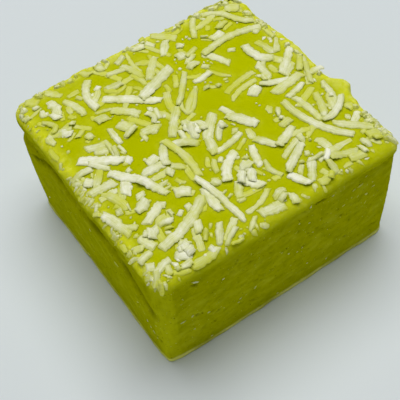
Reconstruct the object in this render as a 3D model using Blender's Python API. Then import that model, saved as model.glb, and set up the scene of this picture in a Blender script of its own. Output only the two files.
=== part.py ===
"""Square of lime fudge, with shredded coconut fused to its poured top.

The base lies on z = 0 and +Z is up. -Y is the knife-cut front face, -X the creased left face.
The strands lie one on another in the order of their table, and small flakes fill the gaps.
"""

import math
import random

import bmesh
import bpy
import numpy as np
from mathutils import Vector, noise

MM = 0.001
NODE_NAME = "fudge_square"
FRAME_SHIFT = (-1.07 * MM, -0.29 * MM)  # brings the middle of the whole outline over the origin

# Block.
BLOCK_WIDTH = 50.0 * MM
BLOCK_DEPTH = 48.8 * MM
BLOCK_HEIGHT = 27.4 * MM
RIM_RADIUS = 1.6 * MM
FOOT_RADIUS = 0.5 * MM
FRONT_CHAMFER = 2.3 * MM  # at the corner between the left and the front face
FRONT_CHAMFER_PROFILE = 0.33
CORNER_RADIUS = 2.5 * MM  # at the other three upright edges
CORNER_FILL = 0.6 * MM  # the foot of the chamfered corner is nearly sharp
CORNER_TUCK = 0.6 * MM  # and the front face runs in towards it
TUCK_REACH = 9.0 * MM
CORNER_FADE = 22.0 * MM  # height at which both have died away
CELL = 3.0 * MM
GRID_MARGIN = 3.2 * MM
FACE_LEVELS = [mm * MM for mm in (3.5, 7.0, 10.5, 13.5, 16.0, 17.8, 19.3, 20.4, 21.3, 22.4, 24.0)]

# How far each corner of the hand-cut square stands off the true one: (x, y) at the top, then foot.
CORNER_OFFSETS = {
    (-1, -1): ((-0.3, -0.2), (-0.15, 0.2)),
    (1, -1): ((0.9, -0.3), (0.6, -0.6)),
    (-1, 1): ((-0.3, 0.9), (-0.2, -0.9)),
    (1, 1): ((0.9, 0.1), (0.2, -0.1)),
}
FRONT_BOW = 0.55 * MM  # the front rim stands out this far in its middle
BOW_REACH = 8.0 * MM
RIM_LUMPS = (  # side (x, y), place along it, reach and height in millimetres
    ((1, 0), -8.0, 3.8, 2.3),
    ((1, 0), -12.0, 2.6, 0.5),
    ((1, 0), 5.0, 12.0, 0.9),
    ((1, 0), 20.0, 3.0, 0.4),
    ((0, 1), 17.0, 4.0, 0.5),
    ((0, 1), 4.8, 2.6, 0.6),
    ((0, 1), -1.5, 12.0, 0.75),
    ((0, 1), -10.2, 2.6, 0.5),
    ((0, 1), -15.0, 12.0, 0.65),
    ((-1, 0), -1.5, 4.0, 0.4),
)
LUMP_DEPTH = 5.0 * MM  # the lumps die away this far below the rim
LUMP_REACH_IN = 6.0 * MM

# Poured skin.
SKIN_WAVE = 0.32 * MM
SKIN_WAVE_LENGTH = 11.0 * MM
SKIN_SAG = 0.35 * MM  # the skin sinks this far towards the cut edges
SKIN_SAG_POWER = 6
SKIN_BLEND = 4.8 * MM  # depth over which the skin's waves die away down the faces
FACE_BLEND = 2.0 * MM  # a face's relief is full this far in from an upright edge

# Left face: it leans in under the rim as far as a crease, then swells out again.
CREASE_DEPTH = 0.65 * MM
CREASE_LEVEL = 21.0 * MM
CREASE_FALL = 4.6 * MM  # it runs down towards the front corner
CREASE_FALL_FROM = -10.0 * MM
CREASE_FALL_TO = -21.5 * MM
CREASE_WANDER = 0.5 * MM
CREASE_WANDER_LENGTH = 6.0 * MM
CREASE_ABOVE = 4.2 * MM
CREASE_BELOW = 1.5 * MM
CREASE_END = 3.0 * MM  # it dies away this far before the front corner

# Front face: the skin sags over the rim towards the right corner and ends in a lip.
LIP_SWELL = 0.6 * MM
LIP_NOTCH = 0.25  # depth of the notch under the lip as a share of the swell
LIP_LEVEL = 25.0 * MM
LIP_TURN = 0.4 * MM
LIP_START = 12.0 * MM
LIP_END = 21.0 * MM
BELLY = 0.35 * MM
DRAG_WAVE = 0.12 * MM
DRAG_LENGTH = 7.0 * MM
DRAG_STRETCH = 0.35  # the knife's drag runs up and down the faces
BURR = 0.18 * MM
BURR_WAVE = 0.15 * MM
BURR_LENGTH = 3.5 * MM
BURR_HEIGHT = 1.2 * MM

# Coconut.
STRAND_THICKNESS = 0.55 * MM
STRAND_CROWN = 0.86  # width of the upper side as a share of the lower one
STRAND_TAPER = 0.9  # width at the ends as a share of the middle
STRAND_FULLNESS = 1.15  # the tables give the width of a strand's bright middle
SEGMENT = 2.5 * MM
LEAST_SEGMENTS = 2
MOST_SEGMENTS = 5
BRIDGE_SAG = 0.22 * MM
STEEPEST = 0.38
REST_REACH = 0.35  # how far from its middle a strand feels what it rests on, as a share of its width
END_SLANT = 0.45
MARKS = 7  # points that stand for a strand when gaps are measured
SINK = {"pressed": 0.34 * MM, "lying": 0.2 * MM, "top": 0.12 * MM}

# Each strand in millimetres: ends (x, y) and (x, y), bulge to the left of the way, width.
PRESSED_STRANDS = (
    (-23.2, -3.6, -19.5, -3.9, 0.1, 1.6),
    (-13.9, -5.6, -10.1, -5.7, 0.0, 1.5),
    (-15.0, -22.6, -13.2, -17.9, 0.2, 1.6),
    (-11.2, -23.1, -7.0, -20.4, 0.0, 1.5),
    (-5.3, -20.9, 0.8, -18.8, -0.7, 1.2),
    (13.9, -15.5, 14.4, -19.5, 0.2, 1.9),
    (11.1, -19.7, 19.0, -19.5, 0.2, 1.4),
    (20.8, -17.2, 24.4, -15.2, 0.0, 1.5),
    (6.8, -15.7, 12.7, -13.6, 0.3, 1.3),
    (21.4, -4.9, 24.8, 1.6, -0.3, 1.5),
    (-8.9, 23.6, -5.4, 17.4, 0.5, 1.5),
    (-0.5, 23.7, -1.4, 16.6, -0.5, 1.2),
    (-18.6, 24.1, -16.4, 21.0, 0.3, 1.9),
    (5.4, 24.2, 9.4, 20.6, 0.3, 2.1),
    (7.9, 2.6, 15.6, 4.2, 0.4, 1.5),
    (7.6, 0.3, 14.8, 2.2, 0.7, 1.4),
    (8.6, 10.0, 11.6, 5.6, -0.3, 1.1),
    (21.3, 19.2, 24.1, 15.6, -0.4, 1.3),
    (20.6, 10.4, 21.3, 5.4, 0.3, 1.7),
    (21.9, 5.4, 24.7, 8.9, 0.0, 1.5),
)
LYING_STRANDS = (
    (-24.0, -1.4, -18.9, -2.0, 0.1, 1.8),
    (-14.6, -3.6, -9.9, -3.9, 0.1, 1.7),
    (-9.9, -4.4, -7.6, 0.2, 0.3, 1.4),
    (-24.2, -6.3, -22.6, -12.7, 0.2, 1.8),
    (-19.5, -12.6, -15.2, -10.5, 0.0, 1.6),
    (-21.9, -13.9, -20.7, -17.2, 0.0, 1.7),
    (-23.6, -21.6, -19.9, -20.4, 0.2, 1.3),
    (-12.1, -23.3, -9.6, -19.6, 0.1, 1.2),
    (-4.3, -18.0, -2.2, -14.6, 0.0, 1.5),
    (-3.5, -22.5, 1.2, -23.2, 0.1, 2.0),
    (-1.0, -4.2, 3.4, 0.2, 0.2, 1.9),
    (0.5, -5.5, 3.7, -2.3, 0.3, 1.2),
    (-2.1, -7.3, 4.7, -6.4, -0.4, 1.2),
    (2.6, -14.7, 4.4, -9.8, 0.1, 1.4),
    (7.7, -22.6, 10.7, -18.3, 0.1, 1.5),
    (13.2, -20.5, 18.0, -22.2, 0.2, 1.5),
    (17.3, -5.4, 17.6, -12.9, 0.3, 1.4),
    (21.0, -6.9, 18.4, -12.9, 0.3, 1.4),
    (23.7, -5.4, 22.2, -11.7, 0.3, 1.4),
    (18.6, -14.7, 23.8, -19.9, 0.2, 1.6),
    (15.0, -2.8, 22.0, -1.8, 0.2, 1.9),
    (16.1, -4.9, 21.0, -4.0, 0.0, 1.2),
    (23.0, -3.0, 27.0, -2.3, 0.1, 1.3),
    (-19.4, 7.2, -15.2, 5.7, 0.0, 1.9),
    (-13.4, 8.8, -13.6, 4.5, -0.1, 1.2),
    (-10.8, 12.4, -7.1, 8.4, 0.0, 1.9),
    (-16.9, 19.8, -15.2, 14.4, 0.5, 1.4),
    (-3.6, 21.0, -1.8, 15.4, 0.2, 1.4),
    (-9.0, 17.5, -5.6, 16.8, 0.1, 1.4),
    (-5.7, 0.3, -0.6, 5.8, 0.1, 1.6),
    (-9.6, 4.3, -6.0, 3.5, 0.2, 1.8),
    (-1.2, 14.2, 3.0, 19.0, 0.2, 1.6),
    (4.3, 17.9, 7.1, 21.5, 0.0, 1.5),
    (-0.2, 3.3, 4.6, 7.2, 0.3, 1.2),
    (4.9, 8.3, 9.0, 8.8, 0.0, 1.3),
    (10.4, 13.8, 13.3, 8.6, 0.2, 1.6),
    (12.1, 18.3, 15.1, 23.4, 0.3, 1.2),
    (17.2, 5.5, 17.1, 0.9, 0.0, 1.7),
)
TOP_STRANDS = (
    (-18.8, 0.3, -14.9, -4.7, -0.2, 1.8),
    (-15.7, -4.5, -13.3, -9.8, 0.3, 1.6),
    (-7.5, 0.4, -6.8, -9.8, 0.9, 1.4),
    (-7.7, -12.3, -8.5, -18.0, 0.1, 1.7),
    (-7.7, -9.8, -6.1, -22.2, 0.2, 1.2),
    (-20.3, -17.9, -8.8, -13.8, -0.9, 1.8),
    (-2.1, -14.6, 0.4, -18.3, 0.2, 1.8),
    (-3.7, -14.0, 1.3, -9.4, 0.9, 1.7),
    (4.8, -1.5, 8.0, -6.9, 0.1, 1.9),
    (5.6, -9.1, 7.9, -13.0, 0.1, 1.4),
    (7.7, -13.1, 12.7, -10.9, -0.1, 1.6),
    (5.3, -18.7, 7.0, -22.7, 0.2, 1.5),
    (5.4, -18.4, 11.4, -15.1, 0.0, 1.5),
    (17.6, -13.4, 24.1, -10.5, -0.9, 1.3),
    (15.1, -5.1, 19.9, -19.0, -1.6, 1.4),
    (-21.8, 6.0, -15.3, 0.8, 0.0, 1.9),
    (-10.8, 15.9, -2.3, 8.6, 0.1, 1.8),
    (-10.2, 21.9, -12.6, 14.3, -1.2, 1.5),
    (-5.1, 11.2, 3.8, 14.5, 0.1, 2.0),
    (-0.5, 5.5, 5.2, 11.8, 0.0, 1.1),
    (10.4, 13.2, 24.0, 12.7, 1.6, 1.5),
    (18.4, 10.8, 20.6, 4.3, -1.1, 1.8),
    (19.1, 0.2, 24.9, 4.9, 0.0, 1.6),
)

# Flakes fill the gaps between the strands, the largest first, and keep off the bare patches.
FLAKE_COUNT = 46
FLAKE_LONGEST = 3.8 * MM
FLAKE_SHORTEST = 1.7 * MM
FLAKE_WIDTH = (1.0 * MM, 1.7 * MM)
FLAKE_TRIES = 60
FLAKE_EDGE = 0.7 * MM  # how far in from the outline a flake's ends stay
FLAKE_BEND = 0.25 * MM
SEED = 27
BARE_PATCHES = (  # (x, y, radius) in millimetres
    (-11.6, 1.6, 3.2),
    (-4.0, -4.2, 2.6),
    (-12.3, -12.6, 2.2),
    (9.6, -2.6, 3.4),
    (9.4, -8.9, 2.6),
    (4.4, 3.6, 3.2),
    (13.2, 6.9, 2.4),
    (17.0, 11.6, 2.2),
    (11.4, 17.2, 2.0),
    (-12.6, 22.6, 2.6),
    (-20.6, 8.6, 2.6),
)

# Grid on which the pile of strands is measured.
PILE_REACH = 28.0 * MM
PILE_CELL = 0.25 * MM
PILE_STEP = 0.6 * PILE_CELL
DROP_OUTSIDE = 3.0 * MM

SHARP_ANGLE = math.radians(38.0)

FUDGE_COLOUR = (0.43, 0.47, 0.008, 1.0)
FUDGE_ROUGHNESS = 0.5


def clear_scene():
    """Empty the scene."""
    for item in list(bpy.data.objects):
        bpy.data.objects.remove(item, do_unlink=True)


def ease(low, high, value):
    """0 at low, 1 at high, with a smooth run between them."""
    share = min(max((value - low) / (high - low), 0.0), 1.0)
    return share * share * (3.0 - 2.0 * share)


def wave(x, y, z, length):
    """Soft noise between about -1 and 1, with bumps of the given length."""
    return noise.noise(Vector((x, y, z)) / length)


def corner_offset(x, y, z):
    """How far the hand-cut block stands off the true one at this point."""
    across = 0.5 + x / BLOCK_WIDTH
    along = 0.5 + y / BLOCK_DEPTH
    up = z / BLOCK_HEIGHT
    offset = Vector((0.0, 0.0, 0.0))
    for (side, end), (top, foot) in CORNER_OFFSETS.items():
        share = (across if side > 0 else 1.0 - across) * (along if end > 0 else 1.0 - along)
        offset.x += share * MM * (up * top[0] + (1.0 - up) * foot[0])
        offset.y += share * MM * (up * top[1] + (1.0 - up) * foot[1])
    return offset


def edge_distance(x, y):
    """Distance in from the outline of the top, which has round corners."""
    offset = corner_offset(x, y, BLOCK_HEIGHT) + rim_lumps(x, y, BLOCK_HEIGHT)
    offset.y -= front_bow(x, y, BLOCK_HEIGHT)
    over_x = abs(x - offset.x) - (BLOCK_WIDTH / 2 - CORNER_RADIUS)
    over_y = abs(y - offset.y) - (BLOCK_DEPTH / 2 - CORNER_RADIUS)
    outside = math.hypot(max(over_x, 0.0), max(over_y, 0.0))
    return CORNER_RADIUS - outside - min(max(over_x, over_y), 0.0)


def skin_relief(x, y):
    """Rise of the poured skin over the block's height."""
    outward = max(abs(x) * 2 / BLOCK_WIDTH, abs(y) * 2 / BLOCK_DEPTH)
    sag = SKIN_SAG * outward**SKIN_SAG_POWER
    return SKIN_WAVE * wave(x, y, 0.0, SKIN_WAVE_LENGTH) - sag


def skin_level(x, y):
    """Height of the bare skin over the base, with its rounded rim."""
    inward = edge_distance(x, y)
    level = BLOCK_HEIGHT + skin_relief(x, y)
    if inward <= 0.0:
        return level - DROP_OUTSIDE
    if inward < RIM_RADIUS:
        level -= RIM_RADIUS - math.sqrt(RIM_RADIUS**2 - (RIM_RADIUS - inward) ** 2)
    return level


def rim_lumps(x, y, z):
    """How far lumps push the upper part of the faces out, along X and along Y."""
    pushed = Vector((0.0, 0.0, 0.0))
    depth = ease(BLOCK_HEIGHT - LUMP_DEPTH, BLOCK_HEIGHT - RIM_RADIUS, z)
    for (side, end), place, reach, height in RIM_LUMPS:
        along = (y if side else x) / MM
        near = ease(BLOCK_WIDTH / 2 - LUMP_REACH_IN, BLOCK_WIDTH / 2, x * side + y * end)
        push = height * MM * depth * near * (1.0 - ease(0.0, reach, abs(along - place)))
        pushed += Vector((side * push, end * push, 0.0))
    return pushed


def front_bow(x, y, z):
    """How far the front face bows out at this height."""
    across = math.cos(math.pi * min(abs(x) / BLOCK_WIDTH, 0.5))
    forward = ease(BLOCK_DEPTH / 2 - BOW_REACH, BLOCK_DEPTH / 2, -y)
    return FRONT_BOW * across * forward * z / BLOCK_HEIGHT


def near_corner(x, y, z):
    """How far the near corner stands off its chamfer at this height."""
    from_side = x + BLOCK_WIDTH / 2
    from_end = y + BLOCK_DEPTH / 2
    middle = 1.0 - ease(0.0, 1.0, abs(from_side - from_end) / FRONT_CHAMFER)
    fill = CORNER_FILL * middle * (1.0 - ease(FRONT_CHAMFER, 2.0 * FRONT_CHAMFER, from_side + from_end))
    tuck = CORNER_TUCK * (1.0 - ease(0.0, TUCK_REACH, from_side))
    tuck *= 1.0 - ease(0.0, TUCK_REACH, from_end)
    return Vector((-fill, tuck - fill, 0.0)) * (1.0 - ease(0.0, CORNER_FADE, z))


def crease_level(y):
    """Height of the crease in the left face at this depth."""
    fall = CREASE_FALL * ease(CREASE_FALL_FROM, CREASE_FALL_TO, y)
    return CREASE_LEVEL - fall + CREASE_WANDER * wave(0.0, y, 0.0, CREASE_WANDER_LENGTH)


def crease_inset(y, z):
    """How far the left face lies in around its crease."""
    above = z - crease_level(y)
    if above >= 0.0:
        return CREASE_DEPTH * (1.0 - ease(0.0, CREASE_ABOVE, above))
    return CREASE_DEPTH * (1.0 - ease(0.0, CREASE_BELOW, -above))


def lip_swell(x, z):
    """How far the sagging skin stands out over the front face near the right corner."""
    along = ease(LIP_START, LIP_END, x)
    over = ease(LIP_LEVEL - LIP_TURN, LIP_LEVEL + LIP_TURN, z)
    under = ease(LIP_LEVEL - 6.0 * LIP_TURN, LIP_LEVEL - LIP_TURN, z)
    return LIP_SWELL * along * (over - LIP_NOTCH * under * (1.0 - over))


def face_relief(point):
    """How far a point of an upright face stands out from the flat block."""
    x, y, z = point
    belly = BELLY * math.sin(math.pi * z / BLOCK_HEIGHT)
    drag = DRAG_WAVE * wave(x, y, z * DRAG_STRETCH, DRAG_LENGTH)
    burr = BURR + BURR_WAVE * wave(x, y, 0.0, BURR_LENGTH)
    return belly + drag + burr * (1.0 - ease(0.0, BURR_HEIGHT, z))


def sculpt(point):
    """Where a point of the plain rounded block lies on the hand-cut one."""
    x, y, z = point
    half_x = BLOCK_WIDTH / 2
    half_y = BLOCK_DEPTH / 2
    risen = ease(BLOCK_HEIGHT - SKIN_BLEND, BLOCK_HEIGHT, z)
    moved = Vector(point) + corner_offset(x, y, z) + rim_lumps(x, y, z) + near_corner(x, y, z)
    moved.y -= front_bow(x, y, z)
    moved.z += risen * skin_relief(x, y)
    upright = face_relief(point) * (1.0 - ease(BLOCK_HEIGHT - RIM_RADIUS, BLOCK_HEIGHT, z))
    to_side = ease(half_x - FACE_BLEND, half_x, abs(x))
    to_end = ease(half_y - FACE_BLEND, half_y, abs(y))
    moved.x += math.copysign(upright * to_side, x)
    moved.y += math.copysign(upright * to_end, y)
    if x < 0.0:
        moved.x += to_side * crease_inset(y, z) * ease(-half_y, -half_y + CREASE_END, y)
    if y < 0.0:
        moved.y -= to_end * lip_swell(x, z)
    if z <= 0.0:
        moved.z = 0.0
    return moved


def upright_edges(mesh, side, end):
    """The upright edge of the plain block at one corner."""
    found = []
    for edge in mesh.edges:
        first, second = (vert.co for vert in edge.verts)
        is_upright = abs(first.z - second.z) > BLOCK_HEIGHT / 2
        if is_upright and first.x * side > 0.0 and first.y * end > 0.0:
            found.append(edge)
    return found


def level_edges(mesh, level):
    """The edges that lie round the block at one height."""
    return [edge for edge in mesh.edges if all(abs(v.co.z - level) < 1e-7 for v in edge.verts)]


def round_edges(mesh, edges, offset, segments, profile=0.5):
    """Round the edges off."""
    bmesh.ops.bevel(
        mesh,
        geom=edges,
        offset=offset,
        offset_type="OFFSET",
        segments=segments,
        profile=profile,
        affect="EDGES",
        material=-1,
    )


def cut_across(mesh, place, normal):
    """Cut the block's faces in a plane, so that they can take relief."""
    geometry = mesh.verts[:] + mesh.edges[:] + mesh.faces[:]
    bmesh.ops.bisect_plane(mesh, geom=geometry, dist=1e-7, plane_co=place, plane_no=normal)


def stations(length):
    """Evenly spaced places along one side, clear of the rounded corners."""
    reach = length / 2 - GRID_MARGIN
    return np.linspace(-reach, reach, round(2 * reach / CELL) + 1)


def block_body():
    """The hand-cut block on its own."""
    mesh = bmesh.new()
    bmesh.ops.create_cube(mesh, size=1.0)
    bmesh.ops.scale(mesh, vec=(BLOCK_WIDTH, BLOCK_DEPTH, BLOCK_HEIGHT), verts=mesh.verts)
    bmesh.ops.translate(mesh, vec=(0.0, 0.0, BLOCK_HEIGHT / 2), verts=mesh.verts)
    for side, end in CORNER_OFFSETS:
        if (side, end) == (-1, -1):
            edges = upright_edges(mesh, side, end)
            round_edges(mesh, edges, FRONT_CHAMFER, 4, FRONT_CHAMFER_PROFILE)
        else:
            round_edges(mesh, upright_edges(mesh, side, end), CORNER_RADIUS, 4)
    round_edges(mesh, level_edges(mesh, BLOCK_HEIGHT), RIM_RADIUS, 3)
    round_edges(mesh, level_edges(mesh, 0.0), FOOT_RADIUS, 1)
    for level in FACE_LEVELS:
        cut_across(mesh, (0.0, 0.0, level), (0.0, 0.0, 1.0))
    for place in stations(BLOCK_WIDTH):
        cut_across(mesh, (place, 0.0, 0.0), (1.0, 0.0, 0.0))
    for place in stations(BLOCK_DEPTH):
        cut_across(mesh, (0.0, place, 0.0), (0.0, 1.0, 0.0))
    for vert in mesh.verts:
        vert.co = sculpt(vert.co)
    base = [face for face in mesh.faces if all(vert.co.z < 1e-7 for vert in face.verts)]
    bmesh.ops.dissolve_faces(mesh, faces=base, use_verts=False)
    bmesh.ops.triangulate(mesh, faces=mesh.faces)
    return mesh


def start_pile():
    """Height of the bare skin on a fine grid that reaches past the block."""
    count = round(2 * PILE_REACH / PILE_CELL) + 1
    places = np.linspace(-PILE_REACH, PILE_REACH, count)
    return np.array([[skin_level(x, y) for x in places] for y in places])


def pile_index(place):
    """Row or column of the pile's grid at this place."""
    return round((place + PILE_REACH) / PILE_CELL)


def pile_level(pile, point):
    """Height of whatever lies uppermost at this point."""
    return pile[pile_index(point.y), pile_index(point.x)]


def way_point(strand, share):
    """Point of a strand's middle line, and the level direction to its left."""
    x0, y0, x1, y1, bulge = (value * MM for value in strand[:5])
    run = Vector((x1 - x0, y1 - y0, 0.0))
    left = Vector((-run.y, run.x, 0.0)).normalized()
    point = Vector((x0, y0, 0.0)) + run * share + left * (4.0 * bulge * share * (1.0 - share))
    heading = (run + left * (4.0 * bulge * (1.0 - 2.0 * share))).normalized()
    return point, Vector((-heading.y, heading.x, 0.0))


def strand_width(strand, share):
    """Width of a strand at this share of its length."""
    even = STRAND_TAPER + (1.0 - STRAND_TAPER) * math.sin(math.pi * share)
    return strand[5] * MM * STRAND_FULLNESS * even


def segments_of(strand):
    """How many straight pieces make up the strand."""
    length = math.hypot(strand[2] - strand[0], strand[3] - strand[1]) * MM
    return min(max(round(length / SEGMENT), LEAST_SEGMENTS), MOST_SEGMENTS)


def rests(pile, strand, count):
    """Height on which each of the strand's cross-sections would rest."""
    levels = []
    for index in range(count + 1):
        point, left = way_point(strand, index / count)
        reach = left * (REST_REACH * strand_width(strand, index / count))
        levels.append(max(pile_level(pile, place) for place in (point - reach, point, point + reach)))
    return levels


def bridged(levels):
    """Heights of a stiff strand that bridges the hollows between the high places."""
    raised = []
    last = len(levels) - 1
    for index, level in enumerate(levels):
        straight = level
        for before in range(index):
            for after in range(index + 1, last + 1):
                share = (index - before) / (after - before)
                chord = levels[before] * (1.0 - share) + levels[after] * share
                straight = max(straight, chord)
        raised.append(max(level, straight - BRIDGE_SAG))
    return raised


def eased_slopes(levels, step):
    """The same heights with no slope over the steepest."""
    eased = list(levels)
    most = STEEPEST * step
    for index in range(1, len(eased)):
        eased[index] = max(eased[index], eased[index - 1] - most)
    for index in range(len(eased) - 2, -1, -1):
        eased[index] = max(eased[index], eased[index + 1] - most)
    return eased


def strand_floor(pile, strand, sink):
    """Height of the strand's underside at each cross-section."""
    count = segments_of(strand)
    step = math.hypot(strand[2] - strand[0], strand[3] - strand[1]) * MM / count
    levels = eased_slopes(bridged(rests(pile, strand, count)), step)
    return [level - sink for level in levels]


def floor_at(floor, share):
    """Height of the underside between two cross-sections."""
    place = share * (len(floor) - 1)
    index = min(int(place), len(floor) - 2)
    return floor[index] + (floor[index + 1] - floor[index]) * (place - index)


def pile_up(pile, strand, floor):
    """Raise the pile where the strand now lies."""
    length = math.hypot(strand[2] - strand[0], strand[3] - strand[1]) * MM
    count = math.ceil(length / PILE_STEP)
    for index in range(count + 1):
        share = index / count
        point, left = way_point(strand, share)
        top = floor_at(floor, share) + STRAND_THICKNESS
        half = 0.5 * strand_width(strand, share)
        for across in np.linspace(-half, half, math.ceil(2 * half / PILE_STEP) + 1):
            place = point + left * across
            row, column = pile_index(place.y), pile_index(place.x)
            pile[row, column] = max(pile[row, column], top)


def strand_body(strand, floor, slant):
    """A bent strip with cut ends, as a mesh of its own."""
    count = len(floor) - 1
    mesh = bmesh.new()
    bmesh.ops.create_cube(mesh, size=1.0)
    bmesh.ops.translate(mesh, vec=(0.5, 0.0, 0.5), verts=mesh.verts)
    for index in range(1, count):
        cut_across(mesh, (index / count, 0.0, 0.0), (1.0, 0.0, 0.0))
    for vert in mesh.verts:
        share, across, up = vert.co
        point, left = way_point(strand, share)
        ahead = Vector((left.y, -left.x, 0.0))
        is_end = share < 1e-4 or share > 1.0 - 1e-4
        wide = strand_width(strand, share) * (STRAND_CROWN if up > 0.5 else 1.0)
        place = point + left * (across * wide)
        if is_end:
            place += ahead * (across * wide * slant)
        place.z = floor_at(floor, share) + up * STRAND_THICKNESS
        vert.co = place
    bmesh.ops.triangulate(mesh, faces=mesh.faces)
    bmesh.ops.recalc_face_normals(mesh, faces=mesh.faces)
    return mesh


def is_bare(x, y):
    """Whether the point lies in a patch that holds no coconut."""
    return any(math.hypot(x / MM - px, y / MM - py) < radius for px, py, radius in BARE_PATCHES)


def strand_marks(strand):
    """Points spread along a strand, for measuring how crowded a place is."""
    return [tuple(way_point(strand, share)[0][:2]) for share in np.linspace(0.0, 1.0, MARKS)]


def flakes(random_draw):
    """Small flakes for the gaps between the strands, the largest first."""
    marks = []
    for strand in PRESSED_STRANDS + LYING_STRANDS + TOP_STRANDS:
        marks.extend(strand_marks(strand))
    laid = []
    for index in range(FLAKE_COUNT):
        length = FLAKE_LONGEST + (FLAKE_SHORTEST - FLAKE_LONGEST) * index / (FLAKE_COUNT - 1)
        best = None
        for _ in range(FLAKE_TRIES):
            x = random_draw.uniform(-BLOCK_WIDTH / 2, BLOCK_WIDTH / 2)
            y = random_draw.uniform(-BLOCK_DEPTH / 2, BLOCK_DEPTH / 2)
            heading = random_draw.uniform(0.0, math.pi)
            ahead = (math.cos(heading) * length / 2, math.sin(heading) * length / 2)
            ends = (x - ahead[0], y - ahead[1], x + ahead[0], y + ahead[1])
            inward = min(edge_distance(*ends[:2]), edge_distance(*ends[2:]))
            if is_bare(x, y) or inward < FLAKE_EDGE:
                continue
            clear = np.hypot(*(np.array(marks) - (x, y)).T).min()
            if best is None or clear > best[0]:
                best = (clear, ends)
        bulge = random_draw.uniform(-FLAKE_BEND, FLAKE_BEND)
        width = random_draw.uniform(*FLAKE_WIDTH)
        flake = tuple(value / MM for value in (*best[1], bulge, width))
        marks.extend(strand_marks(flake))
        laid.append(flake)
    return laid


def coconut_bodies():
    """Every strand and flake as a mesh, laid in order on the pile."""
    random_draw = random.Random(SEED)
    small = flakes(random_draw)
    layers = (
        (PRESSED_STRANDS, SINK["pressed"]),
        (small, SINK["pressed"]),
        (LYING_STRANDS, SINK["lying"]),
        (TOP_STRANDS, SINK["top"]),
    )
    pile = start_pile()
    bodies = []
    for strands, sink in layers:
        for strand in strands:
            floor = strand_floor(pile, strand, sink)
            slant = random_draw.uniform(-END_SLANT, END_SLANT)
            bodies.append(strand_body(strand, floor, slant))
            pile_up(pile, strand, floor)
    return bodies


def fudge_material():
    """Waxy lime-green fudge."""
    material = bpy.data.materials.new("lime_fudge")
    material.use_nodes = True
    shader = material.node_tree.nodes["Principled BSDF"]
    shader.inputs["Base Color"].default_value = FUDGE_COLOUR
    shader.inputs["Roughness"].default_value = FUDGE_ROUGHNESS
    shader.inputs["Metallic"].default_value = 0.0
    return material


def new_object(name, mesh, collection):
    """Turn a mesh under construction into an object of the collection."""
    data = bpy.data.meshes.new(name)
    mesh.to_mesh(data)
    mesh.free()
    item = bpy.data.objects.new(name, data)
    collection.objects.link(item)
    return item


def new_collection(name, helper=False):
    """Add a collection to the scene."""
    collection = bpy.data.collections.new(name)
    collection.hide_render = helper
    bpy.context.scene.collection.children.link(collection)
    return collection


def fuse(block, collection):
    """Join the collection's strands to the block in one union."""
    union = block.modifiers.new("coconut", "BOOLEAN")
    union.operation = "UNION"
    union.operand_type = "COLLECTION"
    union.collection = collection
    union.solver = "EXACT"
    graph = bpy.context.evaluated_depsgraph_get()
    fused = bpy.data.meshes.new_from_object(block.evaluated_get(graph))
    block.modifiers.clear()
    block.data = fused
    for item in list(collection.objects):
        bpy.data.objects.remove(item, do_unlink=True)
    bpy.data.collections.remove(collection)


def linked_groups(mesh):
    """The separate shells of the mesh."""
    waiting = set(mesh.verts)
    groups = []
    while waiting:
        group = {waiting.pop()}
        edge_of_group = list(group)
        while edge_of_group:
            vert = edge_of_group.pop()
            for edge in vert.link_edges:
                other = edge.other_vert(vert)
                if other in waiting:
                    waiting.remove(other)
                    group.add(other)
                    edge_of_group.append(other)
        groups.append(group)
    return groups


def clean(block):
    """Keep the one outer shell, which fills any sealed hollow, and set the frame."""
    mesh = bmesh.new()
    mesh.from_mesh(block.data)
    groups = sorted(linked_groups(mesh), key=len)
    loose = [vert for group in groups[:-1] for vert in group]
    bmesh.ops.delete(mesh, geom=loose, context="VERTS")
    bmesh.ops.triangulate(mesh, faces=mesh.faces)
    bmesh.ops.translate(mesh, vec=(*FRAME_SHIFT, 0.0), verts=mesh.verts)
    mesh.to_mesh(block.data)
    mesh.free()
    block.data.shade_smooth()
    block.data.set_sharp_from_angle(angle=SHARP_ANGLE)


def main():
    """Build the fudge square."""
    clear_scene()
    parts = new_collection("fudge")
    helpers = new_collection("coconut_strands", helper=True)
    block = new_object(NODE_NAME, block_body(), parts)
    for index, mesh in enumerate(coconut_bodies()):
        strand = new_object(f"strand_{index}", mesh, helpers)
        strand.hide_render = True
        strand.display_type = "WIRE"
    fuse(block, helpers)
    clean(block)
    block.data.materials.clear()
    block.data.materials.append(fudge_material())


main()
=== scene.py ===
"""Looks of a square of lime fudge with shredded coconut on its poured top.

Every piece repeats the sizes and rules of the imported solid, so the looks keep its form. The base
lies on z = 0 and +Z is up. -Y is the knife-cut front face, -X the creased left face.
"""

import logging
import math
import random
from dataclasses import dataclass, field
from enum import Enum
from typing import Any, Iterable, Sequence

import bmesh
import bpy
import numpy as np
from mathutils import Matrix, Vector, noise


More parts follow.
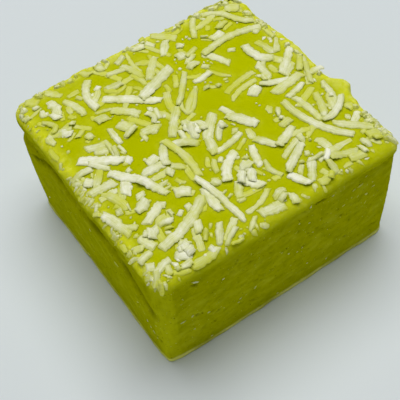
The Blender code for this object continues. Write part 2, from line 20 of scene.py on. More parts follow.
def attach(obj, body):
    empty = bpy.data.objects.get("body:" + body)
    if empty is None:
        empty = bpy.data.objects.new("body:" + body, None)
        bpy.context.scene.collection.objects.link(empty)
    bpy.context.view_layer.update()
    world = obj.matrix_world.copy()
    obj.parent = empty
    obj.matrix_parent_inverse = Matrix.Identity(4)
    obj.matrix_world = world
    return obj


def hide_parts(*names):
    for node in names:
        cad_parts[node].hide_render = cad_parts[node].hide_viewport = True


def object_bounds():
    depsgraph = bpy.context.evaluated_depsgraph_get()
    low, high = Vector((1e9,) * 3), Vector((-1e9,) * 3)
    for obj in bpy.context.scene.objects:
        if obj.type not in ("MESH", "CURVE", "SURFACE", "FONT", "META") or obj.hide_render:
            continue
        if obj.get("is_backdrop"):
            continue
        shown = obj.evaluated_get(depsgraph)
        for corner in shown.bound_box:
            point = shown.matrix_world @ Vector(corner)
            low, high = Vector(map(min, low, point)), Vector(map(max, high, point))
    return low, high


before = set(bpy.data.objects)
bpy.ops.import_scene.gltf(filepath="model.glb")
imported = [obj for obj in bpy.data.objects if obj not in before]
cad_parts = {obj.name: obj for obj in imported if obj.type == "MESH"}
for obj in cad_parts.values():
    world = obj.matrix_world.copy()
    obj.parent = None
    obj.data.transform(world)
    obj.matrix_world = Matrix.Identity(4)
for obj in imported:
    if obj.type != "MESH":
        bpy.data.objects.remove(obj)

MM = 0.001
BODY = "root"
NODE = "fudge_square"

log = logging.getLogger("fudge")

Colour = tuple[float, float, float, float]
Place = Sequence[float]
SOAK_GRADES = 5


def linear(hex_colour: str) -> Colour:
    """Turn an sRGB hex colour into linear light.

    Args:
        hex_colour: Colour such as "#BCC20A".

    Returns:
        Red, green, blue and alpha.
    """
    shares = [int(hex_colour[place : place + 2], 16) / 255.0 for place in (1, 3, 5)]
    light = [s / 12.92 if s <= 0.04045 else ((s + 0.055) / 1.055) ** 2.4 for s in shares]
    return (light[0], light[1], light[2], 1.0)


def ease(low: float, high: float, value: float) -> float:
    """Run smoothly from 0 at one value to 1 at another.

    Args:
        low: Where the run starts.
        high: Where it ends.
        value: Where it is read.

    Returns:
        A share from 0 to 1.
    """
    share = min(max((value - low) / (high - low), 0.0), 1.0)
    return share * share * (3.0 - 2.0 * share)


def wave(x: float, y: float, z: float, length: float) -> float:
    """Give soft noise between about -1 and 1.

    Args:
        x: Place along X.
        y: Place along Y.
        z: Place along Z.
        length: Length of the noise's bumps.

    Returns:
        The noise at that place.
    """
    return noise.noise(Vector((x, y, z)) / length)


def feed(tree: bpy.types.NodeTree, node: bpy.types.Node, inputs: dict[Any, Any]) -> None:
    """Set or link the inputs of a shader node.

    Args:
        tree: Node tree that holds the node.
        node: The node.
        inputs: Value or linked socket for each input, by its name or number.
    """
    for name, value in inputs.items():
        if isinstance(value, bpy.types.NodeSocket):
            tree.links.new(value, node.inputs[name])
        else:
            node.inputs[name].default_value = value


def add_node(
    tree: bpy.types.NodeTree, kind: str, inputs: dict[Any, Any] | None = None, **settings: Any
) -> bpy.types.Node:
    """Add a shader node with its settings and links.

    Args:
        tree: Node tree that takes the node.
        kind: The kind of node, as in Blender's name for it after "ShaderNode".
        inputs: Value or linked socket for each input, by its name or number.
        settings: The node's own settings.

    Returns:
        The new node.
    """
    node = tree.nodes.new(f"ShaderNode{kind}")
    for name, value in settings.items():
        setattr(node, name, value)
    feed(tree, node, inputs or {})
    return node


def new_finish(name: str) -> tuple[bpy.types.Material, bpy.types.NodeTree, bpy.types.Node]:
    """Start a material that has a shader and no other finish yet.

    Args:
        name: The material's name.

    Returns:
        The material, its node tree and its shader.
    """
    made = bpy.data.materials.new(name)
    made.use_nodes = True
    return made, made.node_tree, made.node_tree.nodes["Principled BSDF"]


@dataclass(frozen=True)
class BlockForm:
    """Form of the hand-cut block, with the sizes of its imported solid, in metres."""

    width: float = 50.0 * MM
    depth: float = 48.8 * MM
    height: float = 27.4 * MM
    shift: tuple[float, float] = (-1.07 * MM, -0.29 * MM)
    rim_radius: float = 1.6 * MM
    foot_radius: float = 0.5 * MM
    front_chamfer: float = 2.3 * MM
    front_chamfer_profile: float = 0.33
    corner_radius: float = 2.5 * MM
    corner_fill: float = 0.6 * MM
    corner_tuck: float = 0.6 * MM
    tuck_reach: float = 9.0 * MM
    corner_fade: float = 22.0 * MM
    front_bow: float = 0.55 * MM
    bow_reach: float = 8.0 * MM
    lump_depth: float = 5.0 * MM
    lump_reach_in: float = 6.0 * MM
    skin_wave: float = 0.32 * MM
    skin_wave_length: float = 11.0 * MM
    skin_sag: float = 0.35 * MM
    skin_sag_power: int = 6
    skin_blend: float = 4.8 * MM
    face_blend: float = 2.0 * MM
    crease_depth: float = 0.65 * MM
    crease_middle: float = 21.0 * MM
    crease_fall: float = 4.6 * MM
    crease_fall_from: float = -10.0 * MM
    crease_fall_to: float = -21.5 * MM
    crease_wander: float = 0.5 * MM
    crease_wander_length: float = 6.0 * MM
    crease_above: float = 4.2 * MM
    crease_below: float = 1.5 * MM
    crease_end: float = 3.0 * MM
    lip_height: float = 0.6 * MM
    lip_notch: float = 0.25
    lip_level: float = 25.0 * MM
    lip_turn: float = 0.4 * MM
    lip_start: float = 12.0 * MM
    lip_end: float = 21.0 * MM
    belly: float = 0.35 * MM
    drag_wave: float = 0.12 * MM
    drag_length: float = 7.0 * MM
    drag_stretch: float = 0.35
    burr: float = 0.18 * MM
    burr_wave: float = 0.15 * MM
    burr_length: float = 3.5 * MM
    burr_height: float = 1.2 * MM
    drop_outside: float = 3.0 * MM
    # How far each corner stands off the true square in millimetres: (x, y) at the top, then foot.
    corners: tuple[tuple[tuple[int, int], tuple[float, float], tuple[float, float]], ...] = (
        ((-1, -1), (-0.3, -0.2), (-0.15, 0.2)),
        ((1, -1), (0.9, -0.3), (0.6, -0.6)),
        ((-1, 1), (-0.3, 0.9), (-0.2, -0.9)),
        ((1, 1), (0.9, 0.1), (0.2, -0.1)),
    )
    # Lumps in the rim in millimetres: side (x, y), place along it, reach, height.
    lumps: tuple[tuple[tuple[int, int], float, float, float], ...] = (
        ((1, 0), -8.0, 3.8, 2.3),
        ((1, 0), -12.0, 2.6, 0.5),
        ((1, 0), 5.0, 12.0, 0.9),
        ((1, 0), 20.0, 3.0, 0.4),
        ((0, 1), 17.0, 4.0, 0.5),
        ((0, 1), 4.8, 2.6, 0.6),
        ((0, 1), -1.5, 12.0, 0.75),
        ((0, 1), -10.2, 2.6, 0.5),
        ((0, 1), -15.0, 12.0, 0.65),
        ((-1, 0), -1.5, 4.0, 0.4),
    )

    def corner_offset(self, place: Place) -> Vector:
        """Say how far the hand-cut block stands off the true one.

        Args:
            place: The point.

        Returns:
            The offset at that point.
        """
        x, y, z = place
        across = 0.5 + x / self.width
        along = 0.5 + y / self.depth
        up = z / self.height
        offset = Vector((0.0, 0.0, 0.0))
        for (side, end), top, foot in self.corners:
            share = (across if side > 0 else 1.0 - across) * (along if end > 0 else 1.0 - along)
            offset.x += share * MM * (up * top[0] + (1.0 - up) * foot[0])
            offset.y += share * MM * (up * top[1] + (1.0 - up) * foot[1])
        return offset

    def edge_distance(self, x: float, y: float) -> float:
        """Measure how far in from the outline of the top a place lies.

        Args:
            x: Place along X.
            y: Place along Y.

        Returns:
            The distance, below 0 outside.
        """
        top = (x, y, self.height)
        offset = self.corner_offset(top) + self.lumps_at(top)
        offset.y -= self.bow_at(top)
        over_x = abs(x - offset.x) - (self.width / 2 - self.corner_radius)
        over_y = abs(y - offset.y) - (self.depth / 2 - self.corner_radius)
        outside = math.hypot(max(over_x, 0.0), max(over_y, 0.0))
        return self.corner_radius - outside - min(max(over_x, over_y), 0.0)

    def skin_relief(self, x: float, y: float) -> float:
        """Say how far the poured skin rises over the block's height.

        Args:
            x: Place along X.
            y: Place along Y.

        Returns:
            The rise, mostly below 0 near the rim.
        """
        outward = max(abs(x) * 2 / self.width, abs(y) * 2 / self.depth)
        sag = self.skin_sag * outward**self.skin_sag_power
        return self.skin_wave * wave(x, y, 0.0, self.skin_wave_length) - sag

    def skin_level(self, x: float, y: float) -> float:
        """Give the height of the bare skin over the base, with its rounded rim.

        Args:
            x: Place along X.
            y: Place along Y.

        Returns:
            The height of the skin there.
        """
        inward = self.edge_distance(x, y)
        level = self.height + self.skin_relief(x, y)
        if inward <= 0.0:
            return level - self.drop_outside
        if inward < self.rim_radius:
            level -= self.rim_radius - math.sqrt(self.rim_radius**2 - (self.rim_radius - inward) ** 2)
        return level

    def lumps_at(self, place: Place) -> Vector:
        """Say how far lumps push the upper part of the faces out.

        Args:
            place: The point.

        Returns:
            The push along X and along Y.
        """
        x, y, z = place
        pushed = Vector((0.0, 0.0, 0.0))
        depth = ease(self.height - self.lump_depth, self.height - self.rim_radius, z)
        for (side, end), middle, reach, height in self.lumps:
            along = (y if side else x) / MM
            near = ease(self.width / 2 - self.lump_reach_in, self.width / 2, x * side + y * end)
            push = height * MM * depth * near * (1.0 - ease(0.0, reach, abs(along - middle)))
            pushed += Vector((side * push, end * push, 0.0))
        return pushed

    def bow_at(self, place: Place) -> float:
        """Say how far the front face bows out.

        Args:
            place: The point.

        Returns:
            How far towards -Y the point moves.
        """
        x, y, z = place
        across = math.cos(math.pi * min(abs(x) / self.width, 0.5))
        forward = ease(self.depth / 2 - self.bow_reach, self.depth / 2, -y)
        return self.front_bow * across * forward * z / self.height

    def near_corner(self, place: Place) -> Vector:
        """Say how far the near corner stands off its chamfer: its foot is nearly sharp.

        Args:
            place: The point.

        Returns:
            The offset at that point.
        """
        x, y, z = place
        from_side = x + self.width / 2
        from_end = y + self.depth / 2
        chamfer = self.front_chamfer
        middle = 1.0 - ease(0.0, 1.0, abs(from_side - from_end) / chamfer)
        fill = self.corner_fill * middle * (1.0 - ease(chamfer, 2.0 * chamfer, from_side + from_end))
        tuck = self.corner_tuck * (1.0 - ease(0.0, self.tuck_reach, from_side))
        tuck *= 1.0 - ease(0.0, self.tuck_reach, from_end)
        return Vector((-fill, tuck - fill, 0.0)) * (1.0 - ease(0.0, self.corner_fade, z))

    def crease_level(self, y: float) -> float:
        """Give the height of the crease in the left face.

        Args:
            y: Place along the face.

        Returns:
            The crease's height over the base.
        """
        fall = self.crease_fall * ease(self.crease_fall_from, self.crease_fall_to, y)
        wander = self.crease_wander * wave(0.0, y, 0.0, self.crease_wander_length)
        return self.crease_middle - fall + wander

    def crease_inset(self, y: float, z: float) -> float:
        """Say how far the left face lies in around its crease.

        Args:
            y: Place along the face.
            z: Height on the face.

        Returns:
            The depth there.
        """
        above = z - self.crease_level(y)
        if above >= 0.0:
            return self.crease_depth * (1.0 - ease(0.0, self.crease_above, above))
        return self.crease_depth * (1.0 - ease(0.0, self.crease_below, -above))

    def lip_swell(self, x: float, z: float) -> float:
        """Say how far the sagging skin stands out over the front face.

        Args:
            x: Place along the face.
            z: Height on the face.

        Returns:
            How far it stands out.
        """
        along = ease(self.lip_start, self.lip_end, x)
        over = ease(self.lip_level - self.lip_turn, self.lip_level + self.lip_turn, z)
        under = ease(self.lip_level - 6.0 * self.lip_turn, self.lip_level - self.lip_turn, z)
        return self.lip_height * along * (over - self.lip_notch * under * (1.0 - over))

    def face_relief(self, place: Place) -> float:
        """Say how far an upright face stands out from the flat block.

        Args:
            place: The point.

        Returns:
            The relief at that point.
        """
        x, y, z = place
        belly = self.belly * math.sin(math.pi * z / self.height)
        drag = self.drag_wave * wave(x, y, z * self.drag_stretch, self.drag_length)
        burr = self.burr + self.burr_wave * wave(x, y, 0.0, self.burr_length)
        return belly + drag + burr * (1.0 - ease(0.0, self.burr_height, z))

    def sculpt(self, point: Vector) -> Vector:
        """Move a point of the plain rounded block to where it lies on the hand-cut one.

        Args:
            point: Point of the plain block.

        Returns:
            Its place on the hand-cut block.
        """
        x, y, z = point
        half_x = self.width / 2
        half_y = self.depth / 2
        risen = ease(self.height - self.skin_blend, self.height, z)
        moved = Vector(point) + self.corner_offset(point) + self.lumps_at(point)
        moved += self.near_corner(point)
        moved.y -= self.bow_at(point)
        moved.z += risen * self.skin_relief(x, y)
        upright = self.face_relief(point)
        upright *= 1.0 - ease(self.height - self.rim_radius, self.height, z)
        to_side = ease(half_x - self.face_blend, half_x, abs(x))
        to_end = ease(half_y - self.face_blend, half_y, abs(y))
        moved.x += math.copysign(upright * to_side, x)
        moved.y += math.copysign(upright * to_end, y)
        if x < 0.0:
            crease = self.crease_inset(y, z)
            moved.x += to_side * crease * ease(-half_y, -half_y + self.crease_end, y)
        if y < 0.0:
            moved.y -= to_end * self.lip_swell(x, z)
        if z <= 0.0:
            moved.z = 0.0
        return moved


class Side(Enum):
    """An upright face, by the direction that it faces."""

    FRONT = (0, -1)
    LEFT = (-1, 0)
    BACK = (0, 1)
    RIGHT = (1, 0)


# How torn and crumbly the rim is over each face.
RIM_CRUST = ((Side.BACK, 0.9), (Side.RIGHT, 1.0))
RIM_CRUMBLE = ((Side.LEFT, 1.0), (Side.BACK, 0.6), (Side.FRONT, 0.35), (Side.RIGHT, 0.8))


class Layer(Enum):
    """How far a strand sinks into what is below, in metres."""

    SUNK = 0.46 * MM
    PRESSED = 0.34 * MM
    LYING = 0.2 * MM
    TOP = 0.12 * MM
    HEAPED = 0.3 * MM


def curve_at(stops: Sequence[Any], share: float) -> tuple[Any, Any]:
    """Read a curve without corners that runs through evenly spaced heights or points.

    Args:
        stops: The heights or points.
        share: How far along the curve, from 0 to 1.

    Returns:
        The curve's height or point there, and how fast it changes.
    """
    last = len(stops) - 1
    index = min(int(share * last), last - 1)
    part = share * last - index
    before, low, high, after = (stops[min(max(index + step, 0), last)] for step in (-1, 0, 1, 2))
    slope = high - before
    bend = 2.0 * before - 5.0 * low + 4.0 * high - after
    turn = 3.0 * low - before - 3.0 * high + after
    place = low + 0.5 * part * (slope + part * (bend + part * turn))
    return place, slope + 2.0 * part * bend + 3.0 * part * part * turn


class Strip:
    """A strip of coconut that follows a level way and lies on whatever is below."""

    wide: float
    thickness = 0.55 * MM
    taper = 0.9
    fullness = 1.15
    segment = 2.5 * MM
    segments = (2, 5)
    marks = 7

    def length(self) -> float:
        """Length of the way in metres."""
        raise NotImplementedError

    def way_point(self, share: float) -> tuple[Vector, Vector]:
        """The point at a share of the way, and the level direction to its left."""
        raise NotImplementedError

    def width_at(self, share: float) -> float:
        """Width at this share of the length, in metres."""
        even = self.taper + (1.0 - self.taper) * math.sin(math.pi * share)
        return self.wide * MM * self.fullness * even

    def segment_count(self) -> int:
        """How many straight pieces make up the strip's solid."""
        return min(max(round(self.length() / self.segment), self.segments[0]), self.segments[1])

    def mark_points(self) -> list[tuple[float, float]]:
        """Points spread along the strip, for measuring how crowded a place is."""
        shares = np.linspace(0.0, 1.0, self.marks).tolist()
        return [(point.x, point.y) for point, _ in map(self.way_point, shares)]


@dataclass(frozen=True)
class Strand(Strip):
    """A simply bent strip in millimetres: its ends, bulge to the left of its way, and width."""

    x0: float
    y0: float
    x1: float
    y1: float
    bulge: float
    wide: float

    def length(self) -> float:
        """Straight distance between the ends, in metres."""
        return math.hypot(self.x1 - self.x0, self.y1 - self.y0) * MM

    def way_point(self, share: float) -> tuple[Vector, Vector]:
        """Follow the strand's middle line.

        Args:
            share: How far along the strand, from 0 to 1.

        Returns:
            The point, and the level direction to its left.
        """
        run = Vector((self.x1 - self.x0, self.y1 - self.y0, 0.0)) * MM
        left = Vector((-run.y, run.x, 0.0)).normalized()
        bulge = self.bulge * MM
        point = Vector((self.x0, self.y0, 0.0)) * MM + run * share
        point += left * (4.0 * bulge * share * (1.0 - share))
        heading = (run + left * (4.0 * bulge * (1.0 - 2.0 * share))).normalized()
        return point, Vector((-heading.y, heading.x, 0.0))


@dataclass(frozen=True)
class Curl(Strip):
    """A strip that winds through several points in millimetres."""

    wide: float
    points: tuple[tuple[float, float], ...]

    def length(self) -> float:
        """Length of the way from point to point, in metres."""
        return sum(math.dist(a, b) for a, b in zip(self.points, self.points[1:])) * MM

    def way_point(self, share: float) -> tuple[Vector, Vector]:
        """Follow the curl's middle line.

        Args:
            share: How far along the curl, from 0 to 1.

        Returns:
            The point, and the level direction to its left.
        """
        point, heading = curve_at([Vector((*point, 0.0)) * MM for point in self.points], share)
        heading.normalize()
        return point, Vector((-heading.y, heading.x, 0.0))


def floor_at(floor: Sequence[float], share: float) -> float:
    """Read the height of a strand's underside between two cross-sections.

    Args:
        floor: Height at each cross-section.
        share: How far along the strand, from 0 to 1.

    Returns:
        The height there.
    """
    place = share * (len(floor) - 1)
    index = min(int(place), len(floor) - 2)
    return floor[index] + (floor[index + 1] - floor[index]) * (place - index)


@dataclass
class Pile:
    """Height of whatever lies uppermost, on a fine grid that reaches past the block."""

    form: BlockForm
    reach: float = 28.0 * MM
    cell: float = 0.25 * MM
    step: float = 0.15 * MM
    bridge_sag: float = 0.22 * MM
    steepest: float = 0.38
    rest_reach: float = 0.35
    levels: np.ndarray = field(init=False)

    def __post_init__(self) -> None:
        """Start from the bare skin."""
        count = round(2 * self.reach / self.cell) + 1
        places = np.linspace(-self.reach, self.reach, count)
        self.levels = np.array([[self.form.skin_level(x, y) for x in places] for y in places])

    def index(self, place: float) -> int:
        """Row or column of the grid at this place."""
        return round((place + self.reach) / self.cell)

    def level(self, point: Vector) -> float:
        """Height of whatever lies uppermost at this point."""
        return self.levels[self.index(point.y), self.index(point.x)]

    def rests(self, strand: Strip, count: int) -> list[float]:
        """Find what each cross-section of a strand would rest on.

        Args:
            strand: The strand to lay.
            count: How many straight pieces it has.

        Returns:
            A height for each cross-section.
        """
        levels = []
        for index in range(count + 1):
            point, left = strand.way_point(index / count)
            reach = left * (self.rest_reach * strand.width_at(index / count))
            levels.append(max(self.level(place) for place in (point - reach, point, point + reach)))
        return levels

    def bridged(self, levels: Sequence[float]) -> list[float]:
        """Let a stiff strand bridge the hollows between the high places.

        Args:
            levels: What each cross-section would rest on.

        Returns:
            The heights of the stiff strand.
        """
        raised = []
        last = len(levels) - 1
        for index, level in enumerate(levels):
            straight = level
            for before in range(index):
                for after in range(index + 1, last + 1):
                    share = (index - before) / (after - before)
                    chord = levels[before] * (1.0 - share) + levels[after] * share
                    straight = max(straight, chord)
            raised.append(max(level, straight - self.bridge_sag))
        return raised

    def eased(self, levels: Sequence[float], step: float) -> list[float]:
        """Take every slope over the steepest out of a strand.

        Args:
            levels: Height at each cross-section.
            step: Distance between cross-sections.

        Returns:
            The eased heights.
        """
        eased = list(levels)
        most = self.steepest * step
        for index in range(1, len(eased)):
            eased[index] = max(eased[index], eased[index - 1] - most)
        for index in range(len(eased) - 2, -1, -1):
            eased[index] = max(eased[index], eased[index + 1] - most)
        return eased

    def floor_for(self, strand: Strip, sink: float) -> list[float]:
        """Find the height of a strand's underside.

        Args:
            strand: The strand to lay.
            sink: How far it sinks into what it lies on.

        Returns:
            The height at each cross-section.
        """
        count = strand.segment_count()
        levels = self.eased(self.bridged(self.rests(strand, count)), strand.length() / count)
        return [level - sink for level in levels]

    def add(self, strand: Strip, floor: Sequence[float]) -> None:
        """Raise the pile where a strand now lies.

        Args:
            strand: The strand.
            floor: Height of its underside at each cross-section.
        """
        count = math.ceil(strand.length() / self.step)
        for index in range(count + 1):
            share = index / count
            point, left = strand.way_point(share)
            top = floor_at(floor, share) + strand.thickness
            half = 0.5 * strand.width_at(share)
            for across in np.linspace(-half, half, math.ceil(2 * half / self.step) + 1):
                place = point + left * across
                row, column = self.index(place.y), self.index(place.x)
                self.levels[row, column] = max(self.levels[row, column], top)

    def cover(self, bare: "Pile", spread: float) -> np.ndarray:
        """Say how closely coconut covers each place, with a soft edge.

        Args:
            bare: The same pile before any coconut lay on it.
            spread: How far the soft edge reaches.

        Returns:
            A share from 0 to 1 for each place of the grid.
        """
        covered = (self.levels - bare.levels > 0.05 * MM).astype(float)
        width = round(spread / self.cell)
        for axis in (0, 1):
            for _ in range(2):
                shifted = [np.roll(covered, offset, axis) for offset in range(-width, width + 1)]
                covered = np.mean(shifted, axis=0)
        return covered


@dataclass(frozen=True)
class Laid:
    """A strand as it lies: its underside, end cut and layer, and how soaked its two ends are."""

    strand: Strip
    floor: tuple[float, ...]
    slant: float
    layer: Layer
    soaks: tuple[float, float]


@dataclass(frozen=True)
class Filling:
    """Small strands that are drawn for the gaps: how many, their sizes in metres and their soaking."""

    count: int
    lengths: tuple[float, float]
    tries: int
    edge: float
    soaks: tuple[float, float]
    whole_clear: bool  # whether their ends too keep out of the bare patches
    widths: tuple[float, float] = (1.0 * MM, 1.7 * MM)


@dataclass
class Strewing:
    """The coconut as it was strewn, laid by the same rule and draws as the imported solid."""

    form: BlockForm
    seed: int = 27
    end_slant: float = 0.45
    small: Filling = Filling(46, (3.8 * MM, 1.7 * MM), 60, 0.7 * MM, (0.85, 1.15), False)
    small_bend: float = 0.25 * MM
    deep: Filling = Filling(45, (2.2 * MM, 6.5 * MM), 14, 1.0 * MM, (0.75, 1.05), True)
    deep_bend: float = 0.1  # share of the length
    heap_soak: float = 0.25
    bare: Pile = field(init=False)
    pile: Pile = field(init=False)
    shreds: list[Laid] = field(default_factory=list)
    flakes: list[Laid] = field(default_factory=list)
    buried: list[Laid] = field(default_factory=list)
    sunk: list[Laid] = field(default_factory=list)
    heaped: list[Laid] = field(default_factory=list)

    def __post_init__(self) -> None:
        """Measure the bare skin."""
        self.bare = Pile(self.form)
        self.pile = Pile(self.form)

    def is_bare(self, x: float, y: float) -> bool:
        """Whether the point lies in a patch that holds no coconut."""
        return any(math.hypot(x / MM - px, y / MM - py) < radius for px, py, radius in BARE_PATCHES)

    def roomiest(
        self, draw: random.Random, kind: Filling, length: float, marks: list[tuple[float, float]]
    ) -> tuple[float, ...]:
        """Try several places for a strand and keep the one with the most room round it.

        Args:
            draw: Seeded source of the places.
            kind: What the strand is one of.
            length: Its length.
            marks: Points on the strands that already lie.

        Returns:
            Its two ends, or nothing where no place will do.
        """
        best: tuple[float, tuple[float, ...]] = (-1.0, ())
        for _ in range(kind.tries):
            x = draw.uniform(-self.form.width / 2, self.form.width / 2)
            y = draw.uniform(-self.form.depth / 2, self.form.depth / 2)
            heading = draw.uniform(0.0, math.pi)
            ahead = (math.cos(heading) * length / 2, math.sin(heading) * length / 2)
            ends = (x - ahead[0], y - ahead[1], x + ahead[0], y + ahead[1])
            inward = min(self.form.edge_distance(*ends[:2]), self.form.edge_distance(*ends[2:]))
            spots = ((x, y), ends[:2], ends[2:]) if kind.whole_clear else ((x, y),)
            if inward >= kind.edge and not any(self.is_bare(*spot) for spot in spots):
                clear = np.hypot(*(np.array(marks) - (x, y)).T).min()
                if clear > best[0]:
                    best = (clear, ends)
        return best[1]

    def draw_small(self, draw: random.Random) -> list[Strand]:
        """Draw small flakes for the gaps between the strands, the largest first.

        Args:
            draw: Seeded source of the draws.

        Returns:
            The flakes.
        """
        marks: list[tuple[float, float]] = []
        for sizes in PRESSED_STRANDS + LYING_STRANDS + TOP_STRANDS:
            marks.extend(Strand(*sizes[:6]).mark_points())
        drawn = []
        longest, shortest = self.small.lengths
        for index in range(self.small.count):
            length = longest + (shortest - longest) * index / (self.small.count - 1)
            ends = self.roomiest(draw, self.small, length, marks)
            bulge = draw.uniform(-self.small_bend, self.small_bend)
            width = draw.uniform(*self.small.widths)
            drawn.append(Strand(*(value / MM for value in (*ends, bulge, width))))
            marks.extend(drawn[-1].mark_points())
        return drawn

    def draw_deep(self, draw: random.Random) -> list[Strand]:
        """Draw strands that have sunk into the skin between those that lie on it.

        Args:
            draw: Seeded source of the draws.

        Returns:
            The sunk strands.
        """
        marks: list[tuple[float, float]] = []
        for laid in self.shreds + self.buried + self.flakes:
            marks.extend(laid.strand.mark_points())
        drawn = []
        for _ in range(self.deep.count):
            length = draw.uniform(*self.deep.lengths)
            ends = self.roomiest(draw, self.deep, length, marks)
            bulge = draw.uniform(-self.deep_bend, self.deep_bend) * length
            width = draw.uniform(*self.deep.widths)
            if ends:
                drawn.append(Strand(*(value / MM for value in (*ends, bulge, width))))
                marks.extend(drawn[-1].mark_points())
        return drawn

    def lay(
        self, strand: Strip, layer: Layer, draw: random.Random, soaks: tuple[float, float]
    ) -> Laid:
        """Lay one strand on the pile.

        Args:
            strand: The strand.
            layer: How it lies.
            draw: Seeded source of its end cut.
            soaks: How much lime its ends have taken up, from 0 to 1.

        Returns:
            The strand as it lies.
        """
        slant = draw.uniform(-self.end_slant, self.end_slant)
        floor = self.pile.floor_for(strand, layer.value)
        self.pile.add(strand, floor)
        return Laid(strand, tuple(floor), slant, layer, soaks)

    def lay_all(self, table: Iterable[Place], layer: Layer, draw: random.Random) -> list[Laid]:
        """Lay every strand of a table.

        Args:
            table: Their sizes and soaking.
            layer: How they lie.
            draw: Seeded source of their end cuts.

        Returns:
            The strands as they lie.
        """
        return [
            self.lay(Strand(*row[:6]), layer, draw, (row[6] / SOAK_GRADES, row[-1] / SOAK_GRADES))
            for row in table
        ]

    def strew(self) -> None:
        """Lay every strand and flake, then the chips that lie between them."""
        draw = random.Random(self.seed)
        damp = random.Random(self.seed + 1)
        small = self.draw_small(draw)
        self.shreds = self.lay_all(PRESSED_STRANDS, Layer.PRESSED, draw)
        for flake in small:
            soak = damp.uniform(*self.small.soaks)
            self.buried.append(self.lay(flake, Layer.PRESSED, draw, (soak, soak)))
        below = self.pile.levels.copy()
        self.shreds += self.lay_all(LYING_STRANDS, Layer.LYING, draw)
        self.shreds += self.lay_all(TOP_STRANDS, Layer.TOP, draw)
        upper = self.pile.levels
        self.pile.levels = below
        self.flakes = self.lay_all(CHIPS, Layer.LYING, draw)
        for wide, grade, points in CURLS:
            soak = grade / SOAK_GRADES
            self.shreds.append(self.lay(Curl(wide, points), Layer.LYING, draw, (soak, soak)))
        self.pile.levels = self.bare.levels.copy()
        for sunk in self.draw_deep(draw):
            soak = damp.uniform(*self.deep.soaks)
            self.sunk.append(self.lay(sunk, Layer.SUNK, draw, (soak, soak)))
        self.pile.levels = np.maximum(self.pile.levels, upper)
        soaks = (self.heap_soak, self.heap_soak)
        for sizes in CRUMPLED:
            self.heaped.append(self.lay(Strand(*sizes), Layer.HEAPED, draw, soaks))


# Each strand in millimetres: ends (x, y) and (x, y), bulge to the left of the way, width. Then how
# much lime each end has taken up, from 0, dry, to 5, soaked through, or one number for both ends.
PRESSED_STRANDS: tuple[Place, ...] = (
    (-23.2, -3.6, -19.5, -3.9, 0.1, 1.6, 3, 2), (-13.9, -5.6, -10.1, -5.7, 0, 1.5, 2, 3),
    (-15, -22.6, -13.2, -17.9, 0.2, 1.6, 3, 2), (-11.2, -23.1, -7, -20.4, 0, 1.5, 3, 2),
    (-5.3, -20.9, 0.8, -18.8, -0.7, 1.2, 2, 3), (13.9, -15.5, 14.4, -19.5, 0.2, 1.9, 4, 1),
    (11.1, -19.7, 19, -19.5, 0.2, 1.4, 2, 4), (20.8, -17.2, 24.4, -15.2, 0, 1.5, 2),
    (6.8, -15.7, 12.7, -13.6, 0.3, 1.3, 3, 2), (21.4, -4.9, 24.8, 1.6, -0.3, 1.5, 3),
    (-8.9, 23.6, -5.4, 17.4, 0.5, 1.5, 5), (-0.5, 23.7, -1.4, 16.6, -0.5, 1.2, 4),
    (-18.6, 24.1, -16.4, 21, 0.3, 1.9, 4), (5.4, 24.2, 9.4, 20.6, 0.3, 2.1, 4),
    (7.9, 2.6, 15.6, 4.2, 0.4, 1.5, 5, 3), (7.6, 0.3, 14.8, 2.2, 0.7, 1.4, 4),
    (8.6, 10, 11.6, 5.6, -0.3, 1.1, 5, 4), (21.3, 19.2, 24.1, 15.6, -0.4, 1.3, 4, 5),
    (20.6, 10.4, 21.3, 5.4, 0.3, 1.7, 5, 2), (21.9, 5.4, 24.7, 8.9, 0, 1.5, 3),
)
